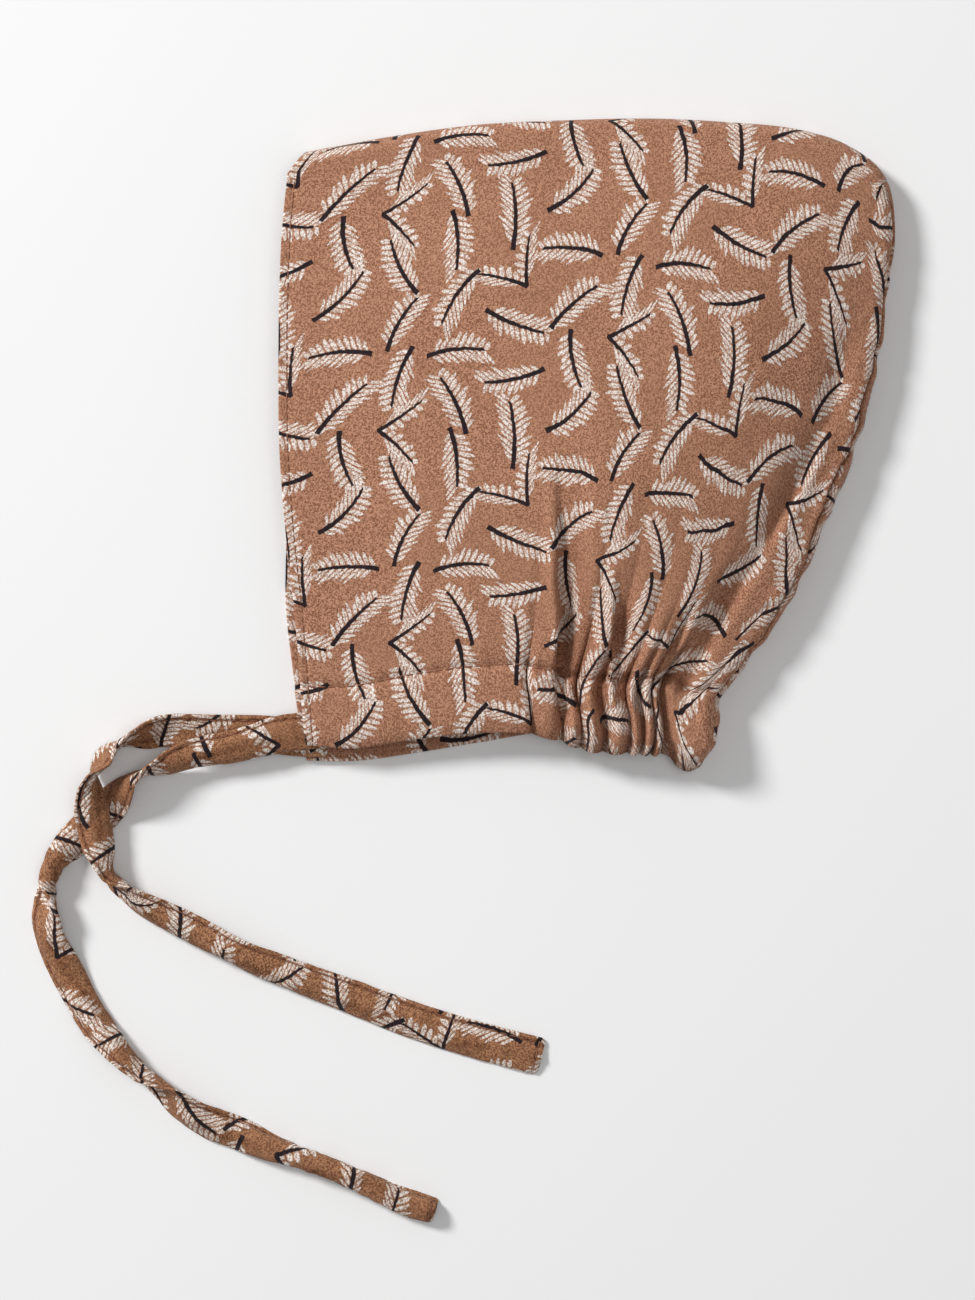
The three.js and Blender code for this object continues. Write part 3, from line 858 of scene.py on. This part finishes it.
LOW_SPREAD = 1.006
TIE_WIDTH = 10.5
TIE_PUFF = 2.0
TIE_STEP = 0.9
TIE_SEAM = -3.75
TIE_LIP = 1.0
LIP_EDGE = 0.3
LIP_LEAN = 0.35
LIP_CALM = 0.7
SEAM_THICKNESS = 0.5
END_LENGTH = 4
END_STEPS = 10
END_ROUNDING = 0.22
END_ROUND_LENGTH = 1.3
END_THINNING = 0.4
END_THIN_LENGTH = 1.2
END_STITCH = 1.4
END_DENT = 0.3
ROOT_LENGTH = 10
ROOT_FADE = 4
ROOT_PRESS = 0.3
CREASE_PLACE = 1.2
CREASE_DEPTH = 0.42
CREASE_WIDTH = 0.8
FULL_TWIST = 9
TIE_ACROSS = np.array(
    [-5.25, -5.14, -4.9, -4.5, -4.15, -3.93, -3.75, -3.57, -3.3, -2.85, -2.2, -1.4, -0.5]
    + [0.5, 1.5, 2.5, 3.4, 4.2, 4.75, 5.12, 5.25]
)
SEAM_COLUMN = int(np.argmin(np.abs(TIE_ACROSS - TIE_SEAM)))


def tie_section():
    """Half a tie's thickness at its places across, and 1 in the lip and 0 in the soft part."""

    def bulge(start, end, thickness):
        share = (TIE_ACROSS - (start + end) / 2) / ((end - start) / 2)
        return thickness / 2 * np.sqrt(np.maximum(1 - share**4, 0))

    edge = TIE_WIDTH / 2
    half = np.maximum(bulge(TIE_SEAM, edge, TIE_PUFF), bulge(-edge, TIE_SEAM, TIE_LIP))
    half = np.maximum(half, SEAM_THICKNESS / 2 * (np.abs(TIE_ACROSS) < edge))
    return half, ease((TIE_SEAM - TIE_ACROSS) / LIP_EDGE)


def tie_course(line):
    """Distances along a tie, and its middle and the direction to its left there."""
    plain = line.length - END_LENGTH
    end = plain + END_LENGTH * np.arange(1, END_STEPS + 1) / END_STEPS
    distance = np.concatenate([np.linspace(0, plain, round(plain / TIE_STEP)), end])
    centre = np.array(VIEW_CENTRE)
    middle = centre + (line.point(distance) - centre) * LOW_SPREAD
    return distance, middle, left_of(line.point(distance + 1) - line.point(distance - 1))


def tie_curve(curl, to_end, in_lip):
    """How far a tie's middle surface leans, and where it runs in its section."""
    lean = TIE_ACROSS * curl / TIE_WIDTH
    lean = lean + (LIP_LEAN * TIE_SEAM * curl / TIE_WIDTH - lean) * in_lip
    narrow = 1 - END_ROUNDING * np.clip(1 - to_end / END_ROUND_LENGTH, 0, 1) ** 2
    span = np.diff(TIE_ACROSS) * narrow
    middle_lean = (lean[:, 1:] + lean[:, :-1]) / 2
    level = running_sum(np.cos(middle_lean) * span, 1)
    return lean, level, running_sum(-np.sin(middle_lean) * span, 1)


def tie_relief(run, to_end, twist, seed):
    """A tie's relief on both faces, half its thickness, and the painted shade at its seam, end
    stitching, crease and wrinkles.
    """
    across = TIE_ACROSS
    half, in_lip = tie_section()
    pucker = ripple("tie_pucker", run, seed) * bump(across - TIE_SEAM, 2.2)
    soft = ripple("tie_soft", run, seed) * np.cos(across * 0.5)
    aside = across - CREASE_PLACE - ripple("tie_course", run, seed)
    crease_and_painted_shade = CREASE_DEPTH * bump(aside, CREASE_WIDTH) * ease(0.6 + ripple("tie_crease", run, seed))
    wrinkle = ripple("tie_wrinkle", run + 1.1 * across, seed)
    folds = ease(twist / FULL_TWIST) * ripple("tie_fold", across + 0.35 * run, seed)
    end_stitch = END_DENT * bump(run[-1] - run - END_STITCH, 0.45)
    pressed = 1 - ROOT_PRESS * ease((ROOT_LENGTH - run) / ROOT_FADE)
    relief = (pucker + soft + wrinkle + folds - crease_and_painted_shade) * (1 - in_lip * LIP_CALM) * pressed
    thinned = 1 - END_THINNING * (1 - ease(to_end / END_THIN_LENGTH))
    thick = half * pressed * thinned - end_stitch * (half > 0.3)
    # Painted shade: darker along the seam line, the end stitching and the crease, lighter on wrinkle
    # and fold crests and darker in their troughs.
    shade = 1.3 * bump(across - TIE_SEAM, 0.36) + end_stitch
    shade = shade + 1.5 * crease_and_painted_shade - 0.8 * wrinkle - 0.8 * folds
    return relief, thick, np.clip(shade, 0, 1)


def once_round(upper, lower):
    """Values once round a tie, along its upper face and back along its lower one."""
    return np.concatenate([upper, lower[:, -2:0:-1]], 1)


def tie_mesh(name, route, seed, origin):
    """A tie's mesh, and its points by distance and place round it."""
    line = Line(route)
    distance, middle, left = tie_course(line)
    run = distance[:, None]
    turn, curl, lift = (line.at(column, distance)[:, None] for column in ("turn", "curl", "lift"))
    twist = np.abs(np.gradient(turn[:, 0], distance))[:, None]
    to_end = np.minimum(run, distance[-1] - run)
    lean, level, rise = tie_curve(curl, to_end, tie_section()[1])
    relief, thick, shade = tie_relief(run, to_end, twist, seed)
    faces = (relief + thick, relief - thick)
    level = once_round(*(level + out * np.sin(lean) for out in faces))
    rise = once_round(*(rise + out * np.cos(lean) for out in faces))

    turn = np.radians(turn)
    flat = level * np.cos(turn) - rise * np.sin(turn)
    height = level * np.sin(turn) + rise * np.cos(turn)
    flat = flat - (flat.min(1, keepdims=True) + flat.max(1, keepdims=True)) / 2
    height = np.maximum(lift, 0) - height.min(1, keepdims=True) + height
    points = raised(middle[:, None] + left[:, None] * flat[..., None], height)

    numbers = np.arange(height.size).reshape(height.shape)
    around = np.concatenate([numbers, numbers[:, :1]], 1)
    girth = np.concatenate([TIE_ACROSS, TIE_WIDTH - TIE_ACROSS[-2::-1]])
    places = np.stack(np.meshgrid(distance, girth, indexing="ij"), -1) + np.array(origin)
    skin = Skin()
    skin.patch(around, places, True)
    caps, cap_places = tie_caps(numbers, places)
    # The tie's mesh carries this painted shade once round it.
    mesh = mesh_from(
        name,
        points.reshape(-1, 3),
        np.concatenate([*skin.quads, caps]),
        np.concatenate([*skin.corners, cap_places]),
        once_round(shade, shade).ravel(),
    )
    return mesh, points


def tie_caps(numbers, places):
    """Quads across a tie's two ends."""
    step = np.arange(len(TIE_ACROSS) - 1)
    corners = np.stack([step, step + 1, -step - 1, -step], 1) % numbers.shape[1]
    turned = corners[:, ::-1]
    caps = np.concatenate([numbers[0][corners], numbers[-1][turned]])
    return caps, np.concatenate([places[0][corners], places[-1][turned]])


# Stitches

STITCH = 2.1
STITCH_GAP = 0.7
FIRST_STITCH = 0.8
THREAD = 0.2
STITCH_RISE = (-0.06, 0.10, 0.15, 0.10, -0.06)
STITCH_SIDES = 5


def stitch_row(points, normals):
    """Thread capsules along a line of surface points, as vertices and quads."""
    along = running_sum(np.linalg.norm(np.diff(points, axis=0), axis=1))
    starts = np.arange(FIRST_STITCH, along[-1] - STITCH, STITCH + STITCH_GAP)
    distance = starts[:, None] + STITCH * np.linspace(0, 1, len(STITCH_RISE))

    def at(values):
        return np.stack([np.interp(distance, along, column) for column in values.T], -1)

    up = unit(at(normals))
    centre = at(points) + up * np.array(STITCH_RISE)[:, None]
    side = np.cross(unit(np.gradient(centre, axis=1)), up)
    angle = (2 * math.pi * np.arange(STITCH_SIDES) / STITCH_SIDES)[:, None]
    round_it = up[:, :, None] * np.cos(angle) + side[:, :, None] * np.sin(angle)
    rings = centre[:, :, None] + THREAD * round_it
    numbers = np.arange(rings.size // 3).reshape(rings.shape[:3])
    after = np.roll(numbers, -1, axis=2)
    quads = np.stack([numbers[:, :-1], after[:, :-1], after[:, 1:], numbers[:, 1:]], -1)
    return rings.reshape(-1, 3), quads.reshape(-1, 4)


def stitch_mesh(name, rows):
    """The mesh of several rows of stitches, each along a line of points and their normals."""
    points, quads = np.zeros((0, 3)), np.zeros((0, 4), int)
    for row in rows:
        row_points, row_quads = stitch_row(*row)
        quads = np.concatenate([quads, row_quads + len(points)])
        points = np.concatenate([points, row_points])
    points[:, 2] = np.maximum(points[:, 2], 0)
    return mesh_from(name, points, quads, points[quads][..., :2])


# Materials


def add_node(tree, kind, inputs=(), **settings):
    """A shader node. inputs are values, fields or other nodes' outputs, by number or by name."""
    node = tree.nodes.new(kind)
    for name, value in settings.items():
        setattr(node, name, value)
    for place, value in (inputs if isinstance(inputs, dict) else dict(enumerate(inputs))).items():
        value = value.socket if isinstance(value, Field) else value
        if isinstance(value, bpy.types.NodeSocket):
            tree.links.new(value, node.inputs[place])
        else:
            node.inputs[place].default_value = value
    return node


def calculation(operation):
    """A method that does one calculation with a field, and with other fields or numbers."""
    return lambda self, *others, **settings: self.math(operation, *others, **settings)


class Field:
    """A number that varies over a surface, as the output of a shader node."""

    def __init__(self, tree, socket):
        self.tree, self.socket = tree, socket

    def math(self, operation, *others, clamp=False):
        settings = {"operation": operation, "use_clamp": clamp}
        node = add_node(self.tree, "ShaderNodeMath", [self, *others], **settings)
        return Field(self.tree, node.outputs[0])

    __add__ = calculation("ADD")
    __sub__ = calculation("SUBTRACT")
    __mul__ = calculation("MULTIPLY")
    __truediv__ = calculation("DIVIDE")
    __pow__ = calculation("POWER")
    __abs__ = calculation("ABSOLUTE")
    floor = calculation("FLOOR")
    modulo = calculation("FLOORED_MODULO")
    root = calculation("SQRT")
    sine = calculation("SINE")
    cosine = calculation("COSINE")
    largest = calculation("MAXIMUM")
    over = calculation("GREATER_THAN")
    under = calculation("LESS_THAN")
    times_plus = calculation("MULTIPLY_ADD")

    def __rsub__(self, other):
        return self.times_plus(-1, other)

    def edge(self, softness):
        """1 well above nought and 0 well below it, with an edge that soft."""
        return self.times_plus(1 / softness, 0.5, clamp=True)


# The print: sprigs on a grid of cells, each column a little lower than the one before it. Each row
# is one cell's sprig: direction in degrees, bend in radians a millimetre, and its longest leaf.
CELL_WIDTH = 15.4
CELL_HEIGHT = 14.4
COLUMN_DROP = 0.37
CHART_SIDE = 4
SPRIGS = table(
    "direction bend length leaf",
    80, 0.025, 18, 5.4,
    205, -0.034, 16, 5.0,
    325, 0.025, 17, 5.2,
    125, 0.034, 11, 4.4,
    25, 0.038, 16, 5.2,
    265, 0.042, 15, 5.0,
    55, -0.030, 17, 5.4,
    160, 0.034, 16, 5.2,
    130, -0.030, 17, 5.4,
    350, 0.034, 11, 4.4,
    235, 0.034, 16, 5.4,
    75, -0.042, 15, 5.0,
    290, -0.034, 16, 5.2,
    100, 0.030, 17, 5.2,
    15, -0.038, 15, 5.0,
    215, 0.042, 16, 5.2,
)
SPRIG_LIMITS = {"direction": (0, 360), "bend": (-0.1, 0.1), "length": (0, 20), "leaf": (0, 8)}
FORKED_LENGTH = 12
FORK_SLOPE = 0.6
LEAF_SLANT = math.radians(50)
LEAF_PITCH = 1.6
LEAF_WIDTH = 0.47
LEAF_BLUNTNESS = 0.7
LEAF_SPREAD = 0.3
LEAF_BEND = 0.03
STEM_WIDTH = 0.68
STEM_FOOT = -0.4
STEM_TIP = 0.96
PRINT_EDGE = 0.2


def chart(tree, cell):
    """The sprig of a cell, looked up by its number in the chart."""
    count = len(SPRIGS["length"])
    ramp = add_node(tree, "ShaderNodeValToRGB", [(cell + 0.5) / count])
    ramp.color_ramp.interpolation = "CONSTANT"
    stops = ramp.color_ramp.elements
    while len(stops) < count:
        stops.new(0.5)
    for number in range(count):
        stops[number].position = number / count
    limits = SPRIG_LIMITS.items()
    shares = [(SPRIGS[name] - low) / (high - low) for name, (low, high) in limits]
    for stop, values in zip(stops, zip(*shares)):
        stop.color = values
    parts = add_node(tree, "ShaderNodeSeparateColor", [ramp.outputs["Color"]])
    shares = [Field(tree, socket) for socket in (*parts.outputs, ramp.outputs["Alpha"])]
    return [share * (high - low) + low for share, (_, (low, high)) in zip(shares, limits)]


def sprig(tree, x, y, cell):
    """Leaves and stem of one cell's sprig, at places from the cell's middle in millimetres."""
    direction, bend, length, leaf = chart(tree, cell)
    forked = length.under(FORKED_LENGTH)
    turn = direction * (math.pi / 180)
    chord = turn + bend * length * (0.25 - forked * 0.25)
    x = x + length * chord.cosine() * 0.5
    y = y + length * chord.sine() * 0.5
    across_x, across_y = turn.cosine(), turn.sine()
    ahead = x * across_x + y * across_y
    aside = y * across_x - x * across_y
    aside = aside + forked * (abs(aside) - ahead * FORK_SLOPE - aside)
    slope = ahead * bend
    aside = (aside - slope * ahead * 0.5) * (slope * slope + 1).math("INVERSE_SQRT")
    reach = abs(aside)
    side = aside.over(0)

    slanted = (ahead - reach / math.tan(LEAF_SLANT)) / LEAF_PITCH + side * 0.5
    index = slanted.floor()
    offset = (slanted - index - 0.5) * LEAF_PITCH
    share = (index + 0.5 - side * 0.5) * LEAF_PITCH / length
    number = {"W": index + side * 40 + cell * 97}
    dice = add_node(tree, "ShaderNodeTexWhiteNoise", number, noise_dimensions="1D")
    chance = Field(tree, dice.outputs["Value"])
    swell = share * 0.84 + 0.10
    size = (swell * (1 - swell) * 4).largest(0).root()
    leaf_length = size * (chance * LEAF_SPREAD + (1 - LEAF_SPREAD / 2)) * leaf
    up = offset * math.cos(LEAF_SLANT) + reach / math.sin(LEAF_SLANT)
    lean = up * up * (chance - 0.5) * LEAF_BEND
    across = abs(offset * math.sin(LEAF_SLANT) + lean)
    part = up / leaf_length
    half = (part * (1 - part) * 4).largest(0) ** LEAF_BLUNTNESS * LEAF_WIDTH
    inside = share.over(0.02) * share.under(1) * part.under(1) * part.over(0)
    leaves = (half - across).edge(PRINT_EDGE) * inside
    stem_half = STEM_WIDTH - ahead / length * (0.5 * STEM_WIDTH)
    stem_inside = ahead.over(STEM_FOOT) * (ahead / length).under(STEM_TIP)
    return leaves, (stem_half - reach).edge(PRINT_EDGE) * stem_inside


def sprigs(tree, x, y):
    """Leaves and stems at places in the cloth, from the four cells that lie nearest."""
    leaves = stems = None
    first_column = (x / CELL_WIDTH).floor()
    for step in (0, 1):
        column = first_column + step
        column_y = y / CELL_HEIGHT - column * COLUMN_DROP
        low_row = column_y.floor()
        chart_column = column.modulo(CHART_SIDE) * CHART_SIDE
        for rise in (0, 1):
            row = low_row + rise
            cell = chart_column + row.modulo(CHART_SIDE)
            leaf, stem = sprig(tree, x - column * CELL_WIDTH, (column_y - row) * CELL_HEIGHT, cell)
            leaves = leaf if leaves is None else leaves.largest(leaf)
            stems = stem if stems is None else stems.largest(stem)
    return leaves, stems


def colour(hex_value):
    """A colour's linear values from its sRGB hexadecimal ones."""
    parts = [((hex_value >> shift) & 255) / 255 for shift in (16, 8, 0)]
    linear = [p / 12.92 if p <= 0.04045 else ((p + 0.055) / 1.055) ** 2.4 for p in parts]
    return (*linear, 1)


# Colours of the print and the thread, as a dark and a light one, and the shaders' other values.
LEAF_COLOURS = (0xC6AD9E, 0xF1EAE3)
STEM_COLOURS = (0x120A0D, 0x2C1B1F)
THREAD_COLOURS = (0x62352A, 0xA06E54)
# The dark colour that the cloth is multiplied by where painted shade falls in the creases.
PAINTED_SHADE_TINT = (0.42, 0.3, 0.22, 1)
CLOTH_SHADER = {"Roughness": 0.86, "Specular IOR Level": 0.25}
CLOTH_SHADER.update({"Sheen Weight": 0.06, "Sheen Roughness": 0.5})
THREAD_SHADER = {"Roughness": 0.6, "Specular IOR Level": 0.3}
FLOOR_SHADER = {"Base Color": (0.86, 0.86, 0.86, 1), "Roughness": 0.9, "Specular IOR Level": 0.1}

# The cloth's threads, in millimetres and as shares of the relief.
THREAD_PITCH = 0.38
THREAD_WANDER = 0.55
SLUB_LENGTH = (3.6, 1.3, 1)
BUMP_HEIGHT = 0.12
BUMP_STRENGTH = 0.55


def mix(tree, factor, dark, light, blend="MIX"):
    """A colour between two others. Sockets 6 and 7 and output 2 are the node's colours."""
    inputs = {0: factor, 6: dark, 7: light}
    return add_node(tree, "ShaderNodeMix", inputs, data_type="RGBA", blend_type=blend).outputs[2]


def two_tone(tree, factor, colours):
    """A colour between a dark one and a light one."""
    return mix(tree, factor, *(colour(value) for value in colours))


def noise(tree, vector, scale):
    values = {"Vector": vector, "Scale": scale, "Detail": 2.0}
    return add_node(tree, "ShaderNodeTexNoise", values, noise_dimensions="2D")


def scaled(tree, vector, scale, shift=(0, 0, 0)):
    values = {"Vector": vector, "Scale": scale, "Location": shift}
    return add_node(tree, "ShaderNodeMapping", values).outputs[0]


def plane(tree, vector):
    """A vector's first two parts, as fields."""
    parts = add_node(tree, "ShaderNodeSeparateXYZ", [vector])
    return Field(tree, parts.outputs[0]), Field(tree, parts.outputs[1])


def new_material(name, values):
    """A material with a shader that has those values."""
    material = bpy.data.materials.new(name)
    material.use_nodes = True
    tree = material.node_tree
    tree.nodes.clear()
    shader = add_node(tree, "ShaderNodeBsdfPrincipled", values)
    add_node(tree, "ShaderNodeOutputMaterial", {"Surface": shader.outputs[0]})
    return material, tree, shader


def woven_bump(tree, place, threads):
    """The relief of the weave, with its threads bent and uneven."""
    u, v = plane(tree, place)
    bent_u, bent_v = ((along + threads * 0.25) * (math.pi / THREAD_PITCH) for along in (u, v))
    weave = abs(bent_u.sine() * bent_v.sine())
    height = weave * 0.6 + threads * 1.2
    values = {"Strength": BUMP_STRENGTH, "Distance": BUMP_HEIGHT * MM, "Height": height}
    return add_node(tree, "ShaderNodeBump", values).outputs[0]


def printed_cotton(name, light, ground, shade):
    """Woven cotton with the sprig print, darkened by painted shade in its creases."""
    material, tree, shader = new_material(name, CLOTH_SHADER)
    uv = add_node(tree, "ShaderNodeUVMap", uv_map="Cloth")
    place = scaled(tree, uv.outputs[0], (1 / MM, 1 / MM, 1 / MM))
    wander = noise(tree, place, 0.6).outputs["Color"]
    wander_values = [wander, (THREAD_WANDER, THREAD_WANDER, 0), place]
    shifted = add_node(tree, "ShaderNodeVectorMath", wander_values, operation="MULTIPLY_ADD")
    leaves, stems = sprigs(tree, *plane(tree, shifted.outputs[0]))

    warp = noise(tree, scaled(tree, place, SLUB_LENGTH), 1.0)
    weft = noise(tree, scaled(tree, place, (SLUB_LENGTH[1], SLUB_LENGTH[0], 1), (7, 3, 0)), 1.0)
    threads = Field(tree, warp.outputs[0]) + Field(tree, weft.outputs[0]) - 1
    crossing = [place, (THREAD_PITCH, THREAD_PITCH, 1)]
    crossing = add_node(tree, "ShaderNodeVectorMath", crossing, operation="SNAP").outputs[0]
    dice = add_node(tree, "ShaderNodeTexWhiteNoise", {"Vector": crossing}, noise_dimensions="2D")
    speck = Field(tree, dice.outputs["Value"]) - 0.5
    heather = threads.times_plus(2.2, speck * 1.1 + 0.5, clamp=True)
    tone = Field(tree, noise(tree, place, 0.035).outputs[0]).times_plus(0.9, -0.2, clamp=True)

    cloth = mix(tree, tone, two_tone(tree, heather, (shade, light)), colour(ground))
    hatch = heather * 0.55 + 0.52
    leaves = leaves * hatch.math("MINIMUM", 1.0)
    printed = mix(tree, leaves, cloth, two_tone(tree, heather, LEAF_COLOURS))
    printed = mix(tree, stems, printed, two_tone(tree, heather, STEM_COLOURS))
    # Painted shade: the printed cloth is multiplied towards the shade tint by each vertex's painted
    # crease shade.
    crease_and_painted_shade = add_node(tree, "ShaderNodeAttribute", attribute_name="painted_crease_shade").outputs["Fac"]
    tree.links.new(mix(tree, crease_and_painted_shade, printed, PAINTED_SHADE_TINT, "MULTIPLY"), shader.inputs["Base Color"])
    tree.links.new(woven_bump(tree, place, threads), shader.inputs["Normal"])
    return material


def thread_material():
    """Sewing thread, a little darker and redder than the cloth."""
    material, tree, shader = new_material("sewing_thread", THREAD_SHADER)
    uv = add_node(tree, "ShaderNodeUVMap", uv_map="Cloth")
    values = {"Vector": uv.outputs[0], "Scale": 1800.0, "Detail": 2.0}
    twist = add_node(tree, "ShaderNodeTexNoise", values).outputs[0]
    tree.links.new(two_tone(tree, twist, THREAD_COLOURS), shader.inputs["Base Color"])
    return material


# Floor, light and camera. These lengths are in metres.

FLOOR_SIZE = 6
FLOOR_DROP = 0.0001
SKY_STRENGTH = 0.3
LIGHT_TARGET = (0.02, 0.02, 0)
LIGHTS = (("key_light", (-1.7, 1.2, 1.45), 0.6, 60), ("top_light", (0.25, 0.0, 1.6), 0.9, 5))


def add_object(name, data, location=(0, 0, 0)):
    made = bpy.data.objects.new(name, data)
    made.location = location
    bpy.context.scene.collection.objects.link(made)
    return made


def make_stage():
    bpy.ops.mesh.primitive_plane_add(size=FLOOR_SIZE, location=(0, 0, -FLOOR_DROP))
    floor = bpy.context.object
    floor.name = "floor"
    floor.data.materials.append(new_material("pale_floor", FLOOR_SHADER)[0])

    world = bpy.data.worlds.new("soft_room")
    bpy.context.scene.world = world
    world.use_nodes = True
    sky = world.node_tree.nodes["Background"].inputs
    sky["Color"].default_value = (1, 1, 1, 1)
    sky["Strength"].default_value = SKY_STRENGTH

    for name, place, size, power in LIGHTS:
        light = bpy.data.lights.new(name, "AREA")
        light.shape = "DISK"
        light.size = size
        light.energy = power
        lamp = add_object(name, light, place)
        lamp.rotation_euler = direction_to_euler(np.array(LIGHT_TARGET) - np.array(place))

    bpy.context.scene.view_settings.view_transform = "Standard"


def direction_to_euler(aim):
    """Rotation that points an object's -Z along a direction."""
    flat = math.hypot(aim[0], aim[1])
    return (math.atan2(flat, -aim[2]), 0, math.atan2(-aim[0], aim[1]))


def make_camera():
    """A camera straight above, at the photograph's scale."""
    camera = bpy.data.cameras.new("camera")
    camera.lens = LENS
    camera.sensor_width = SENSOR
    distance = IMAGE_HEIGHT / PIXELS_PER_MM * LENS / SENSOR
    place = (*VIEW_CENTRE, distance + MIDDLE_PLANE)
    bpy.context.scene.camera = add_object("camera", camera, [length * MM for length in place])


# Assembly


def add_piece(mesh, material, replaced=None):
    """A piece that rides on the part's root, and takes the place of a solid if one is named."""
    piece = add_object(mesh.name, mesh)
    mesh.materials.append(material)
    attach(piece, "root")
    if replaced:
        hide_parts(replaced)
    return piece


def make_crown(cotton, thread):
    """The crown, with stitching at the face edge and along the casing on both halves."""
    mesh, outer, directions, grids = crown_mesh()
    crown = add_piece(mesh, cotton, "crown")
    at_casing = int(np.argmin(np.abs(LEVELS - CASING_HEIGHT)))
    at_face = FRONT_COLUMNS.index(FRONT_STITCH)
    runs = [run for grid in grids.values() for run in (grid[at_face], grid[2:-2, at_casing])]
    rows = [(outer[run], directions[run]) for run in runs]
    stitches = add_piece(stitch_mesh("crown_stitches", rows), thread)


def make_tie(node, route, seed, origin, cotton, thread):
    """A tie, with stitching along its seam and across its end on both faces."""
    mesh, points = tie_mesh(node + "_cloth", route, seed, origin)
    tie = add_piece(mesh, cotton, node)
    across = np.arange(2, len(TIE_ACROSS) - 2)
    end_row = -1 - round(END_STITCH / END_LENGTH * END_STEPS)
    seam = (points[:, SEAM_COLUMN], points[:, -SEAM_COLUMN])
    end = (points[end_row, across], points[end_row, -across])
    rows = [(line, unit(line - other)) for line, other in (seam, seam[::-1], end, end[::-1])]
    stitches = add_piece(stitch_mesh(node + "_stitches", rows), thread)
    length = Line(route).length * MM


make_camera()
make_stage()
crown_cotton = printed_cotton("crown_cotton", 0xC39074, 0x9D6F54, 0x7C4E38)
tie_cotton = printed_cotton("tie_cotton", 0xB5835F, 0x8B5F43, 0x663E28)
sewing_thread = thread_material()
make_crown(crown_cotton, sewing_thread)
make_tie("tie_near", NEAR_TIE, 31, (11, 23), tie_cotton, sewing_thread)
make_tie("tie_far", FAR_TIE, 41, (47, 61), tie_cotton, sewing_thread)
